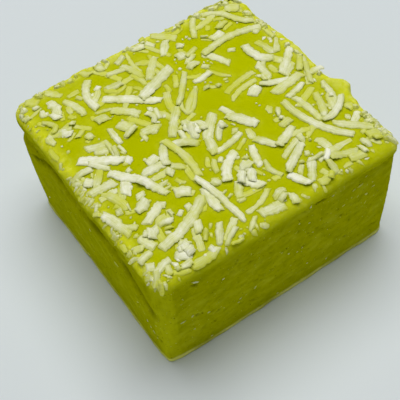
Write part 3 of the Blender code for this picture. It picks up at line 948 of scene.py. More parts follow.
LYING_STRANDS: tuple[Place, ...] = (
    (-24, -1.4, -18.9, -2, 0.1, 1.8, 2, 1), (-14.6, -3.6, -9.9, -3.9, 0.1, 1.7, 1),
    (-9.9, -4.4, -7.6, 0.2, 0.3, 1.4, 1), (-24.2, -6.3, -22.6, -12.7, 0.2, 1.8, 2, 3),
    (-19.5, -12.6, -15.2, -10.5, 0, 1.6, 2, 1), (-21.9, -13.9, -20.7, -17.2, 0, 1.7, 2),
    (-23.6, -21.6, -19.9, -20.4, 0.2, 1.3, 2), (-12.1, -23.3, -9.6, -19.6, 0.1, 1.2, 2),
    (-4.3, -18, -2.2, -14.6, 0, 1.5, 4, 1), (-3.5, -22.5, 1.2, -23.2, 0.1, 2, 2, 3),
    (-1, -4.2, 3.4, 0.2, 0.2, 1.9, 2), (0.5, -5.5, 3.7, -2.3, 0.3, 1.2, 1),
    (-2.1, -7.3, 4.7, -6.4, -0.4, 1.2, 2), (2.6, -14.7, 4.4, -9.8, 0.1, 1.4, 1),
    (7.7, -22.6, 10.7, -18.3, 0.1, 1.5, 2), (13.2, -20.5, 18, -22.2, 0.2, 1.5, 3),
    (17.3, -5.4, 17.6, -12.9, 0.3, 1.4, 3), (21, -6.9, 18.4, -12.9, 0.3, 1.4, 4, 3),
    (23.7, -5.4, 22.2, -11.7, 0.3, 1.4, 2, 3), (18.6, -14.7, 23.8, -19.9, 0.2, 1.6, 3),
    (15, -2.8, 22, -1.8, 0.2, 1.9, 2), (16.1, -4.9, 21, -4, 0, 1.2, 2, 1),
    (23, -3, 27, -2.3, 0.1, 1.3, 3, 1), (-19.4, 7.2, -15.2, 5.7, 0, 1.9, 2, 3),
    (-13.4, 8.8, -13.6, 4.5, -0.1, 1.2, 2, 1), (-10.8, 12.4, -7.1, 8.4, 0, 1.9, 3, 2),
    (-16.9, 19.8, -15.2, 14.4, 0.5, 1.4, 2), (-3.6, 21, -1.8, 15.4, 0.2, 1.4, 2, 5),
    (-9, 17.5, -5.6, 16.8, 0.1, 1.4, 3), (-5.7, 0.3, -0.6, 5.8, 0.1, 1.6, 3),
    (-9.6, 4.3, -6, 3.5, 0.2, 1.8, 3, 2), (-1.2, 14.2, 3, 19, 0.2, 1.6, 2, 3),
    (4.3, 17.9, 7.1, 21.5, 0, 1.5, 2), (-0.2, 3.3, 4.6, 7.2, 0.3, 1.2, 3, 4), (4.9, 8.3, 9, 8.8, 0, 1.3, 2),
    (10.4, 13.8, 13.3, 8.6, 0.2, 1.6, 3, 2), (12.1, 18.3, 15.1, 23.4, 0.3, 1.2, 3),
    (17.2, 5.5, 17.1, 0.9, 0, 1.7, 1, 2),
)
TOP_STRANDS: tuple[Place, ...] = (
    (-18.8, 0.3, -14.9, -4.7, -0.2, 1.8, 1, 0), (-15.7, -4.5, -13.3, -9.8, 0.3, 1.6, 0, 2),
    (-7.5, 0.4, -6.8, -9.8, 0.9, 1.4, 4, 3), (-7.7, -12.3, -8.5, -18, 0.1, 1.7, 1),
    (-7.7, -9.8, -6.1, -22.2, 0.2, 1.2, 1, 2), (-20.3, -17.9, -8.8, -13.8, -0.9, 1.8, 1, 3),
    (-2.1, -14.6, 0.4, -18.3, 0.2, 1.8, 1), (-3.7, -14, 1.3, -9.4, 0.9, 1.7, 1),
    (4.8, -1.5, 8, -6.9, 0.1, 1.9, 3, 1), (5.6, -9.1, 7.9, -13, 0.1, 1.4, 2),
    (7.7, -13.1, 12.7, -10.9, -0.1, 1.6, 2, 1), (5.3, -18.7, 7, -22.7, 0.2, 1.5, 0, 1),
    (5.4, -18.4, 11.4, -15.1, 0, 1.5, 1), (17.6, -13.4, 24.1, -10.5, -0.9, 1.3, 1, 2),
    (15.1, -5.1, 19.9, -19, -1.6, 1.4, 2, 1), (-21.8, 6, -15.3, 0.8, 0, 1.9, 0),
    (-10.8, 15.9, -2.3, 8.6, 0.1, 1.8, 2, 1), (-10.2, 21.9, -12.6, 14.3, -1.2, 1.5, 2),
    (-5.1, 11.2, 3.8, 14.5, 0.1, 2, 1), (-0.5, 5.5, 5.2, 11.8, 0, 1.1, 3),
    (10.4, 13.2, 24, 12.7, 1.6, 1.5, 2), (18.4, 10.8, 20.6, 4.3, -1.1, 1.8, 1),
    (19.1, 0.2, 24.9, 4.9, 0, 1.6, 2, 1),
)
# Small chips that are too many for the solid, in the same sizes.
CHIPS: tuple[Place, ...] = (
    (-22.6, 24.2, -20.6, 22.4, 0, 1.8, 4), (-22.4, 21.6, -21, 21.5, 0, 0.8, 1),
    (-10.8, 24.6, -9, 22.6, 0, 1.5, 3), (-24.9, 20.4, -23.5, 20.4, 0, 1.5, 2),
    (-21.2, 20.4, -21.6, 18.6, 0, 1.2, 2), (-19, 21.6, -18.4, 18.6, 0, 1.5, 1),
    (-20.2, 18.6, -19.4, 16.4, 0, 1.5, 1), (-14.4, 19.3, -13.4, 18.2, 0, 1, 4),
    (-23.3, 14.1, -23.3, 11.7, 0, 1.4, 2), (-21.4, 13.4, -19, 12.6, 0, 2, 2),
    (-17.6, 14.6, -18.6, 13.6, 0, 1, 3), (-19.2, 10.6, -17.4, 11.6, 0, 1, 4),
    (-18.1, 9.5, -16.3, 9.5, 0, 1.6, 4, 3), (-22.4, 8.8, -21.6, 8.8, 0, 0.7, 3),
    (-14.5, 11.9, -12, 11.4, 0, 1.8, 2), (-12, 8.8, -10.4, 6.2, 0.1, 1.8, 3, 2),
    (-10.2, 19.4, -9.7, 18.2, 0, 1.3, 1), (-7.8, 23.2, -6.2, 22.8, 0, 1.8, 3),
    (-4, 21.8, -1.5, 23, 0, 1.3, 2), (-7, 20.4, -3, 19.6, 0.1, 1.2, 3, 2), (3, 24.9, 4.3, 24.7, 0, 1.4, 4),
    (6.9, 16.8, 7.1, 14.8, 0, 1.8, 2), (6.5, 13.5, 9, 14.8, 0, 1.3, 3), (4.5, 13.1, 5.2, 13.1, 0, 0.8, 1),
    (7.9, 18.8, 8.7, 17.6, 0, 1.3, 1), (0.5, 23.8, 2.9, 22.2, 0, 1.6, 2, 1),
    (3.7, 23.6, 4.6, 21.3, 0, 1.3, 2), (5.9, 12, 8.6, 12.8, 0, 1.5, 2), (8.5, 11.3, 9.5, 9.9, 0, 1.2, 2),
    (14.2, 15.8, 17.2, 16.6, 0, 1.7, 2), (7.6, 14.6, 10.8, 16.3, 0.1, 1.2, 4),
    (14.9, 11.6, 16.4, 10.9, 0, 1, 2), (16.8, 17.6, 19.5, 18.4, 0.1, 1.3, 4),
    (21.4, 21.6, 24.2, 20, 0, 2.2, 3), (24.2, 12.5, 24.2, 9, 0, 1.1, 4), (21.8, 12.2, 24, 13.4, 0, 1.3, 2),
    (10.7, 19, 11.3, 19, 0, 0.7, 2), (12.9, 18, 14, 16.7, 0, 0.6, 2), (-25, 3.1, -20.5, 3, 0, 1.4, 3, 2),
    (-23.3, 1.2, -22.1, 0, 0, 2, 1), (-18.6, 5.6, -16, 4.6, 0, 1.3, 2), (-15.6, 7.2, -16, 2.5, 0.1, 0.9, 2),
    (-15.2, 4.5, -15.8, 2, 0, 0.9, 2), (-14.3, 4.5, -14, 2, 0, 0.8, 2), (-12.5, 5.4, -11.9, 5, 0, 0.8, 3),
    (-12.3, 5.2, -9.4, 6, 0, 1.1, 2), (-9.6, 4.5, -9.4, 2.2, 0, 1, 2), (-14, 1.2, -15.2, -0.1, 0, 1.4, 0),
    (-16.4, -1.3, -15.2, -1.3, 0, 1.2, 2), (-12.6, -2.4, -10, -1.5, 0, 1.6, 2),
    (-13.5, -7.4, -11.7, -7.4, 0, 1, 3), (-13.2, -8.6, -11.6, -8.6, 0, 0.6, 2),
    (-10.9, -6.6, -9.7, -5.6, 0, 1.6, 2), (-9.5, -4.9, -7.4, -6.7, 0, 1.4, 2, 3),
    (-17.5, -3, -18.9, -5.6, 0, 1.8, 1), (-17.9, -7.2, -16.2, -7.2, 0, 1.5, 2),
    (-22.3, -7.8, -21.1, -7.8, 0, 1.6, 2), (-19.8, -7, -20, -8.8, 0, 0.6, 2),
    (-25.4, -5.2, -24.4, -5.9, 0, 1.5, 4), (-20.7, 4.1, -18.1, 0.7, 0.1, 1.2, 1, 2),
    (-3.6, 0.8, -4.2, -1.8, 0, 1, 1), (-6.8, -1, -2.5, -3.9, 0.2, 1.5, 0, 4),
    (-0.6, -3.6, -2.1, -7.8, 0.1, 1.7, 2, 4), (3.4, -5.2, 4.6, -5.8, 0, 1.3, 2),
    (5, 0.5, 6.3, -3, 0, 1.2, 2), (-7.9, 4.4, -6.5, 3.2, 0, 2, 2), (-4.2, 8, -5, 5.2, 0, 1, 2),
    (5.4, 6.3, 6.6, 5.7, 0, 1.2, 3), (7.7, 5.2, 8.7, 4.8, 0, 1.1, 4), (-2.6, 1.2, -0.4, -1.6, 0, 2.2, 1, 0),
    (11.3, -0.8, 14, 0.6, 0.1, 2, 1), (14, 0.5, 19.5, -1.5, 0.1, 1.4, 2), (16.4, 2.8, 15.6, 0.6, 0, 1, 2),
    (10.6, -2.7, 11.2, -2.7, 0, 0.7, 2), (22.2, -1.2, 25.2, 2.6, 0, 1.2, 4), (24.4, 0, 22, -4.8, 0, 1, 3),
    (12, -7.7, 13.3, -5.8, 0, 0.9, 2, 3), (19.4, -0.1, 22.3, 1.4, 0, 1.6, 2),
    (-22.2, -11, -20.8, -12.4, 0, 1.2, 2, 3), (-19.4, -10, -16.6, -8.6, 0, 1.9, 2),
    (-15.8, -10, -14.8, -11.5, 0, 1.3, 2), (-15.2, -12.6, -14.9, -14, 0, 0.7, 2),
    (-12.2, -9.9, -9.9, -12, 0.1, 2, 2), (-14.2, -14.6, -13.2, -13.6, 0, 1.1, 2),
    (-12.6, -14.1, -11.2, -13.9, 0, 1.2, 2), (-18.2, -14, -15.2, -14.6, 0.1, 1.2, 3, 2),
    (-17.6, -15.2, -16.2, -15.8, 0, 0.6, 4), (-23.9, -15.2, -22.2, -16.2, 0, 1.4, 4),
    (-24.4, -18, -21.6, -17.4, 0, 1.2, 3), (-24, -19.4, -22.6, -20.2, 0, 1.6, 2),
    (-23, -21, -24.6, -23.2, 0.1, 1, 3, 4), (-21, -21, -21.6, -23, 0, 1, 2, 3),
    (-20.5, -14.4, -18.3, -14.7, 0, 1.8, 1, 2), (-19.2, -20.6, -16.6, -21.8, 0, 1.8, 1, 0),
    (-19.6, -23, -17.4, -23, 0, 1.2, 3), (-17.2, -18.7, -16, -20.4, 0, 1.3, 2),
    (-20.4, -22.6, -19.6, -22.9, 0, 0.9, 2), (-13.6, -19.4, -12.2, -17, 0, 1.3, 2),
    (-13.6, -22.4, -13.5, -24, 0, 1, 0), (-13.8, -21.2, -12.2, -19.6, 0, 0.9, 4),
    (-11.6, -19.6, -10.8, -18.9, 0, 0.7, 3), (-11.4, -23.8, -8, -22, 0.1, 1, 2),
    (-10.6, -24.2, -8.2, -24.4, 0, 0.8, 4), (-5.8, -12, -5, -13.6, 0, 1.3, 2),
    (-6.2, -15.6, -5, -15, 0, 0.7, 3), (-5.8, -16.8, -4.6, -16.2, 0, 0.7, 3),
    (-4.8, -18.2, -3.4, -18.6, 0, 0.9, 2), (1.4, -20.4, 3.2, -20.8, 0, 1.3, 2),
    (0.4, -21.2, 2.6, -20.6, 0, 1.2, 3), (0.6, -22.4, 2.4, -21.8, 0, 1, 3),
    (2.8, -24.2, 3.6, -22, 0, 1.4, 2), (-6.8, -24.2, -4.4, -22.2, 0, 1, 3), (7, -19.8, 8.6, -18.6, 0, 1, 3),
    (1.4, -11.2, 2.2, -12, 0, 0.8, 4), (-2.4, -9.6, -1.2, -9, 0, 1.2, 2),
    (-4, -11.2, -2.9, -8.4, 0.1, 1.1, 4), (11.4, -13.2, 12.2, -14.8, 0, 1.2, 2),
    (10.2, -17.1, 11.2, -17.5, 0, 1.1, 2), (8.2, -18, 9.2, -18.4, 0, 0.7, 3),
    (22.8, -8.6, 21.4, -12.4, 0.1, 1.9, 2), (12, -20.6, 14.2, -19, 0, 1, 0),
    (15.6, -22.4, 18.8, -23.2, 0, 1.8, 3, 4), (19, -21.2, 18.8, -23.4, 0, 0.9, 2),
    (20, -20.4, 20.4, -22.6, 0, 1.3, 2), (21.4, -20.6, 24.2, -21.4, 0, 1.8, 4),
    (21.8, -21.6, 23.4, -22.2, 0, 1.2, 4), (22.9, -13.2, 24.7, -13.4, 0, 1.8, 4),
    (23.6, -18.2, 24.4, -18.2, 0, 0.9, 3), (22.2, -9.4, 23.1, -9.8, 0, 1.2, 1),
    (11, -9.6, 13.4, -9.4, 0, 1.3, 3), (12.6, -15.4, 13.2, -15.4, 0, 0.7, 4),
    (11.8, -8.4, 12.5, -8.2, 0, 0.7, 1), (12.4, -20.9, 12.1, -23.8, 0, 1.2, 3),
    (8.4, -23.2, 10.6, -23.6, 0, 1.6, 4), (10.6, -23, 11.4, -23.8, 0, 1.4, 4),
    (9.4, -18.8, 12.6, -19.2, 0, 0.8, 2),
)
# Strands that wind: width in millimetres, soaking and the points on their way.
CURLS: tuple[tuple[float, int, tuple[tuple[float, float], ...]], ...] = (
    (0.85, 3, ((0.5, 6.6), (-0.4, 4.7), (-0.1, 3.1), (1.7, 3.8), (3.5, 6.1), (4.6, 7.6))),
    (1.3, 3, ((16.6, 22.9), (18.6, 22.0), (20.4, 20.2), (21.4, 17.8), (22.6, 16.2), (24.1, 15.2))),
    (1.0, 4, ((-22.4, 17.8), (-21.0, 15.4), (-22.2, 14.0))),
    (1.0, 2, ((-6.2, 8.0), (-5.6, 6.0), (-6.6, 5.0))),
    (1.1, 3, ((4.2, -13.8), (3.6, -15.6), (3.9, -17.2), (4.8, -18.4))),
)
# Crumpled strips that lie in white tufts, in the same sizes as the strands.
CRUMPLED: tuple[Place, ...] = (
    (-2.5, 1, 0.1, -1, 0.2, 1.7), (-1.9, 2.2, -1.8, -0.6, 0, 1.4), (-1.4, 0.6, -2.4, -2.8, -0.2, 1.5),
    (-0.3, 0.1, 0, -2.2, 0.2, 1.4), (0.4, -12, 0.3, -15.2, 0.2, 1.7), (-0.7, -13.2, 2, -12.8, -0.2, 1.5),
    (-0.6, -13.6, -2.4, -15.6, 0.1, 1.5), (0.9, -14.4, -0.6, -16.6, 0, 1.4),
    (-19.6, 20.6, -18.2, 19.2, 0.1, 1.5), (-18.6, 19.4, -19.4, 17, 0.1, 1.5),
    (-20.8, 13.4, -19.2, 12, 0, 1.6), (-18.2, -20, -16.2, -20.8, 0.2, 1.6),
    (-17, -19.4, -16.6, -21.6, 0, 1.4), (-15.9, -21.2, -17.6, -21.6, 0, 1.3),
    (-20.9, -14, -19, -15.2, 0.1, 1.5), (-19.4, -13.6, -20.2, -15.8, 0, 1.3),
    (2.2, -3.2, 3.7, -3.6, 0, 1.2),
)
# Patches that hold no coconut in millimetres: (x, y, radius).
BARE_PATCHES: tuple[Place, ...] = (
    (-11.6, 1.6, 3.2), (-4, -4.2, 2.6), (-12.3, -12.6, 2.2), (9.6, -2.6, 3.4), (9.4, -8.9, 2.6),
    (4.4, 3.6, 3.2), (13.2, 6.9, 2.4), (17, 11.6, 2.2), (11.4, 17.2, 2), (-12.6, 22.6, 2.6),
    (-20.6, 8.6, 2.6),
)


def cut_across(mesh: bmesh.types.BMesh, place: Sequence[float], normal: Sequence[float]) -> None:
    """Cut every face of a mesh in a plane, so that it can bend there.

    Args:
        mesh: Mesh to cut.
        place: A point of the plane.
        normal: Direction square to the plane.
    """
    geometry = mesh.verts[:] + mesh.edges[:] + mesh.faces[:]
    bmesh.ops.bisect_plane(mesh, geom=geometry, dist=1e-7, plane_co=place, plane_no=normal)


def round_edges(
    mesh: bmesh.types.BMesh,
    edges: Iterable[bmesh.types.BMEdge],
    offset: float,
    segments: int,
    profile: float = 0.5,
) -> None:
    """Round edges off.

    Args:
        mesh: Mesh that holds the edges.
        edges: Edges to round.
        offset: How far in the rounding starts.
        segments: How many strips make it up.
        profile: How full it is; 0.5 is round.
    """
    bmesh.ops.bevel(
        mesh, geom=list(edges), offset=offset, offset_type="OFFSET", segments=segments,
        profile=profile, affect="EDGES", material=-1,
    )


def finish_piece(
    name: str,
    mesh: bmesh.types.BMesh,
    material: bpy.types.Material,
    shift: tuple[float, float],
    sharp: float,
) -> bpy.types.Object:
    """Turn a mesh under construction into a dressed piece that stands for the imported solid.

    Args:
        name: The piece's name.
        mesh: Its mesh, which is used up.
        material: Its finish.
        shift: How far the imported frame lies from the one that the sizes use.
        sharp: Angle in radians over which an edge stays sharp.

    Returns:
        The piece.
    """
    bmesh.ops.translate(mesh, vec=(*shift, 0.0), verts=mesh.verts)
    data = bpy.data.meshes.new(name)
    mesh.to_mesh(data)
    mesh.free()
    data.shade_smooth()
    data.set_sharp_from_angle(angle=sharp)
    data.materials.append(material)
    piece = bpy.data.objects.new(name, data)
    bpy.context.scene.collection.objects.link(piece)
    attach(piece, BODY)
    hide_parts(NODE)
    triangles = sum(len(face.vertices) - 2 for face in data.polygons)
    log.info("%s: %d triangles", name, triangles)
    return piece


@dataclass(frozen=True)
class Dent:
    """A pit, nick or lump in a cut face, in millimetres; a depth below 0 stands out."""

    side: Side
    along: float
    level: float
    length: float
    height: float
    turn: float
    depth: float


# Flaws that show on the two near faces: (along, level, length, height, turn, depth).
SEEN_DENTS: dict[Side, tuple[Place, ...]] = {
    Side.FRONT: (
        (-18.6, 23.6, 1.6, 0.5, -42.0, 0.4), (-18.7, 13.6, 0.8, 0.6, 0.0, 0.4),
        (-10.3, 23.2, 0.8, 0.5, 25.0, 0.35), (-17.6, 7.6, 2.6, 1.2, 50.0, 0.16),
        (13.8, 7.6, 0.8, 0.6, 10.0, 0.35), (3.3, 25.1, 0.6, 0.5, 0.0, 0.3),
        (6.85, 25.2, 3.0, 0.45, -15.0, 0.4), (-14.8, 10.6, 1.3, 0.5, 30.0, 0.3),
        (-8.0, 4.0, 1.5, 1.0, 40.0, -0.22),
    ),
    Side.LEFT: (
        (-18.6, 9.5, 1.1, 0.6, 50.0, 0.45), (-20.6, 8.0, 1.3, 0.6, 55.0, 0.45),
        (-22.6, 7.6, 1.2, 0.6, 60.0, 0.4), (17.2, 19.3, 6.8, 1.3, -23.0, 0.4),
        (13.4, 20.9, 4.6, 1.0, -15.0, 0.3), (9.6, 21.6, 6.0, 1.4, -7.0, 0.35),
        (-4.4, 20.9, 6.4, 1.3, -11.0, 0.35), (-8.9, 21.6, 5.4, 1.1, -4.0, 0.35),
        (-14.4, 19.6, 5.0, 1.3, 21.0, 0.35), (-17.5, 18.2, 4.8, 1.5, 29.0, 0.4),
        (-19.9, 16.6, 3.8, 1.2, 40.0, 0.35),
    ),
}


@dataclass
class FudgeBlock:
    """The block itself: poured skin, knife-cut faces, torn rim and all its small flaws."""

    form: BlockForm
    strewing: Strewing
    cell: float = 0.36 * MM
    corner_segments: int = 7
    rim_segments: int = 6
    foot_segments: int = 3
    tear_height: float = 0.3 * MM
    tear_length: float = 1.5 * MM
    tear_reach: float = 3.4 * MM
    tear_full: tuple[float, float] = (1.0 * MM, 0.6 * MM)  # full inward and down to here
    grain_height: float = 0.035 * MM
    grain_length: float = 0.9 * MM
    streak_height: float = 0.05 * MM
    streak_length: float = 2.4 * MM
    streak_stretch: tuple[float, float] = (0.7, 1.6)  # level and upright
    face_reach: float = 1.6 * MM  # how near a face its fine relief starts
    quiet_foot: float = 0.4 * MM
    quiet_rim: float = 2.0 * MM
    dust_spread: float = 0.5 * MM
    burr: float = 0.16 * MM
    # foot_line and foot_highlight_from bound the painted highlight along the foot; foot_line also ends the
    # burr.
    foot_line: float = 1.35 * MM
    foot_highlight_from: float = 0.75 * MM
    foot_wave: float = 5.0 * MM
    dents_per_side: int = 60
    dent_lengths: tuple[float, float] = (0.5, 1.2)  # of the small dents, in millimetres
    dent_heights: tuple[float, float] = (0.4, 0.7)
    dent_depths: tuple[float, ...] = (0.12, 0.18, 0.26, -0.1, -0.14)
    dent_turn: float = 40.0
    dent_band: float = 0.3 * MM  # how near a face a point moves with it
    dent_blend: float = 1.25  # how far past its size a dent fades out
    dent_lip: float = 0.35  # width of the raised lip round it
    deep: float = 0.35  # depth in millimetres at which a dent's painted shade is full
    # How far the near chamfer's painted highlight reaches, in chamfer widths from the corner
    chamfer_highlight_edge: tuple[float, float] = (0.85, 1.15)
    cut_below: tuple[float, float] = (2.4 * MM, 0.8 * MM)  # depths under the top
    dust_above: tuple[float, float] = (1.2 * MM, 0.2 * MM)
    seed: int = 5

    def plain_mesh(self) -> bmesh.types.BMesh:
        """Make the plain block with its edges rounded and its faces cut into a fine grid.

        Returns:
            The mesh.
        """
        form = self.form
        mesh = bmesh.new()
        bmesh.ops.create_cube(mesh, size=1.0)
        bmesh.ops.scale(mesh, vec=(form.width, form.depth, form.height), verts=mesh.verts)
        bmesh.ops.translate(mesh, vec=(0.0, 0.0, form.height / 2), verts=mesh.verts)
        for (side, end), _, _ in form.corners:
            edges = self.upright_edges(mesh, side, end)
            if (side, end) == (-1, -1):
                profile = form.front_chamfer_profile
                round_edges(mesh, edges, form.front_chamfer, self.corner_segments, profile)
            else:
                round_edges(mesh, edges, form.corner_radius, self.corner_segments)
        round_edges(mesh, self.level_edges(mesh, form.height), form.rim_radius, self.rim_segments)
        round_edges(mesh, self.level_edges(mesh, 0.0), form.foot_radius, self.foot_segments)
        low, high = form.foot_radius + self.cell, form.height - form.rim_radius - self.cell / 2
        for level in np.linspace(low, high, round((high - low) / self.cell) + 1):
            cut_across(mesh, (0.0, 0.0, level), (0.0, 0.0, 1.0))
        base = [face for face in mesh.faces if all(vert.co.z < 1e-7 for vert in face.verts)]
        bmesh.ops.delete(mesh, geom=base, context="FACES_ONLY")
        for axis, length in ((1, form.depth), (0, form.width)):
            normal = Vector((0.0, 0.0, 0.0))
            normal[axis] = 1.0
            reach = length / 2 - 2 * self.cell
            for place in np.linspace(-reach, reach, round(2 * reach / self.cell) + 1):
                cut_across(mesh, normal * place, normal)
        rim = [edge for edge in mesh.edges if edge.is_boundary]
        bmesh.ops.holes_fill(mesh, edges=rim, sides=0)
        return mesh

    def upright_edges(
        self, mesh: bmesh.types.BMesh, side: int, end: int
    ) -> list[bmesh.types.BMEdge]:
        """Find the upright edge of the plain block at one corner.

        Args:
            mesh: The block.
            side: -1 or 1, the corner's side along X.
            end: -1 or 1, its side along Y.

        Returns:
            The edge, in a list.
        """
        found = []
        for edge in mesh.edges:
            first, second = (vert.co for vert in edge.verts)
            is_upright = abs(first.z - second.z) > self.form.height / 2
            if is_upright and first.x * side > 0.0 and first.y * end > 0.0:
                found.append(edge)
        return found

    def level_edges(self, mesh: bmesh.types.BMesh, level: float) -> list[bmesh.types.BMEdge]:
        """Find the edges that lie round the block at one height.

        Args:
            mesh: The block.
            level: The height.

        Returns:
            The edges.
        """
        return [e for e in mesh.edges if all(abs(vert.co.z - level) < 1e-7 for vert in e.verts)]

    def all_dents(self) -> list[Dent]:
        """Add the small flaws that a knife leaves on every face to those that show.

        Returns:
            Every dent.
        """
        draw = random.Random(self.seed)
        every = [Dent(side, *row) for side, rows in SEEN_DENTS.items() for row in rows]
        for side in Side:
            reach = (self.form.depth if side.value[0] else self.form.width) / 2 / MM - 3.0
            for _ in range(self.dents_per_side):
                along = draw.uniform(-reach, reach)
                level = draw.uniform(1.5, self.form.height / MM - 4.5)
                length, height = draw.uniform(*self.dent_lengths), draw.uniform(*self.dent_heights)
                depth = draw.choice(self.dent_depths)
                turn = draw.uniform(-self.dent_turn, self.dent_turn)
                every.append(Dent(side, along, level, length, height, turn, depth))
        return every

    def dent_faces(self, plain: np.ndarray, moved: np.ndarray) -> np.ndarray:
        """Press every dent into the cut faces.

        Args:
            plain: Where each point lies on the plain block.
            moved: Where it lies now, which is changed.

        Returns:
            How deep in a dent each point lies, from 0 to 1, which sets the painted shade in it.
        """
        half = np.array((self.form.width, self.form.depth)) / 2
        dent_shade = np.zeros(len(plain))
        for dent in self.all_dents():
            axis = 0 if dent.side.value[0] else 1
            out = dent.side.value[axis]
            face = np.flatnonzero(plain[:, axis] * out > half[axis] - self.dent_band)
            along = plain[face, 1 - axis] - dent.along * MM
            up = plain[face, 2] - dent.level * MM
            turn = math.radians(dent.turn)
            reach = self.dent_blend
            run = (along * math.cos(turn) + up * math.sin(turn)) / (dent.length * MM / 2 * reach)
            rise = (up * math.cos(turn) - along * math.sin(turn)) / (dent.height * MM / 2 * reach)
            away = np.hypot(run, rise)
            hollow = np.clip(1.0 - away**2, 0.0, 1.0) ** 1.5
            lip = np.clip(1.0 - np.abs(away - reach) / self.dent_lip, 0.0, 1.0)
            moved[face, axis] -= out * dent.depth * MM * (hollow - 0.15 * lip)
            dent_shade[face] = np.maximum(dent_shade[face], hollow * dent.depth / self.deep)
        return np.clip(dent_shade, 0.0, 1.0)

    def fine_relief(self, plain: Vector) -> Vector:
        """Give the relief that is too fine for the solid.

        Args:
            plain: Point of the plain block.

        Returns:
            How far it moves.
        """
        form = self.form
        x, y, z = plain
        outward = Vector((0.0, 0.0, 0.0))
        half_x, half_y = form.width / 2, form.depth / 2
        outward.x = math.copysign(ease(half_x - self.face_reach, half_x, abs(x)), x)
        outward.y = math.copysign(ease(half_y - self.face_reach, half_y, abs(y)), y)
        upright = 1.0 - ease(form.height - self.quiet_rim, form.height, z)
        upright *= ease(0.0, self.quiet_foot, z)
        level, tall = self.streak_stretch
        streak = self.streak_height * wave(x * level, y * level, z * tall, self.streak_length)
        grain = self.grain_height * wave(x, y, z, self.grain_length)
        burr = self.burr * (0.6 + 0.8 * wave(x, y, 0.0, self.foot_wave))
        burr *= 1.0 - ease(self.quiet_foot, self.foot_line, z)
        push = outward * (upright * (streak + grain) + burr)
        rim = self.rim_share(plain, RIM_CRUMBLE)
        tear = self.tear_height * rim * wave(x + 0.2, y, z, self.tear_length)
        tear += 0.5 * self.tear_height * rim * wave(x, y + 0.1, z, self.tear_length / 2.2)
        push += (outward + Vector((0.0, 0.0, 0.7))) * tear
        return push

    def rim_share(self, place: Place, weights: Sequence[tuple[Side, float]]) -> float:
        """Say how much of a place belongs to the torn rim.

        Args:
            place: The point.
            weights: How much of the rim's wear each side has.

        Returns:
            1 on the rim, falling to 0 away from it.
        """
        x, y, z = place
        shares = []
        for side, crumble in weights:
            half = self.form.width / 2 if side.value[0] else self.form.depth / 2
            inward = half - x * side.value[0] - y * side.value[1]
            shares.append(crumble * (1.0 - ease(self.tear_full[0], self.tear_reach, inward)))
        down = self.form.height - z
        return max(shares) * (1.0 - ease(self.tear_full[1], 0.5 * self.tear_reach, down))

    def build(self) -> bmesh.types.BMesh:
        """Make the block.

        Returns:
            Its mesh, with the attributes that its finish reads.
        """
        form, pile = self.form, self.strewing.pile
        mesh = self.plain_mesh()
        plain = np.array([vert.co for vert in mesh.verts])
        moved = np.array([form.sculpt(vert.co) + self.fine_relief(vert.co) for vert in mesh.verts])
        dent_shade = self.dent_faces(plain, moved)
        names = ("rim", "dust", "cut", "foot", "pit", "chamfer", "far_rim")
        layers = {name: mesh.verts.layers.float.new(name) for name in names}
        cover = pile.cover(self.strewing.bare, self.dust_spread)
        cut_from, cut_to = (form.height - depth for depth in self.cut_below)
        dust_from, dust_to = (form.height - depth for depth in self.dust_above)
        for index, vert in enumerate(mesh.verts):
            x, y, z = plain[index]
            # The foot mask carries a painted highlight along the bottom of the cut faces.
            foot = 1.0 - ease(self.foot_highlight_from, self.foot_line, z)
            from_corner = (x + y + form.width / 2 + form.depth / 2) / form.front_chamfer
            on_top = ease(dust_from, dust_to, z)
            shares = {
                "rim": self.rim_share(plain[index], RIM_CRUMBLE),
                "dust": on_top * cover[pile.index(y), pile.index(x)],
                "cut": 1.0 - ease(cut_from, cut_to, z),
                "foot": foot * (0.75 + 0.9 * wave(x, y, 0.0, self.foot_wave)),
                "pit": dent_shade[index],
                # Painted highlight: marks the near chamfer, which its stain paints lighter than the faces
                # beside it.
                "chamfer": 1.0 - ease(*self.chamfer_highlight_edge, from_corner),
                "far_rim": self.rim_share(plain[index], RIM_CRUST),
            }
            for name, share in shares.items():
                vert[layers[name]] = share
            vert.co = moved[index]
            if z < 1e-7:
                vert.co.z = 0.0
        return mesh

    def dress(self, mesh: bmesh.types.BMesh, finish: "LimeFudge") -> bpy.types.Object:
        """Give the block its finish."""
        return finish_piece(
            "fudge_block", mesh, finish.material(), self.form.shift, math.radians(50.0)
        )


@dataclass(frozen=True)
class Blank:
    """A straight strip that every strand is bent from, in millimetres."""

    length: float = 8.0
    width: float = 1.6
    thickness: float = 0.36
    edge: float = 0.1
    edge_segments: int = 2
    cuts: int = 17
    rows: tuple[float, ...] = (-0.62, -0.3, 0.3, 0.62)

    def build(self) -> bmesh.types.BMesh:
        """Make the strip, one unit long, wide and thick.

        Returns:
            Its mesh.
        """
        mesh = bmesh.new()
        bmesh.ops.create_cube(mesh, size=1.0)
        size = (self.length, self.width, self.thickness)
        bmesh.ops.scale(mesh, vec=size, verts=mesh.verts)
        round_edges(mesh, mesh.edges[:], self.edge, self.edge_segments)
        reach = self.length / 2 - 2.2 * self.edge
        for place in np.linspace(-reach, reach, self.cuts):
            cut_across(mesh, (place, 0.0, 0.0), (1.0, 0.0, 0.0))
        for place in self.rows:
            cut_across(mesh, (0.0, place, 0.0), (0.0, 1.0, 0.0))
        bmesh.ops.scale(mesh, vec=[1.0 / value for value in size], verts=mesh.verts)
        bmesh.ops.translate(mesh, vec=(0.5, 0.0, 0.5), verts=mesh.verts)
        return mesh


@dataclass(frozen=True)
class Wear:
    """What sets one strip apart from the next; ends say how far it narrows, below 0 on its right."""

    tag: float
    tilt: float
    twist: float
    cup: float
    lift: float
    lifted_end: float
    ends: tuple[float, float]
    soak: float
    tone: float


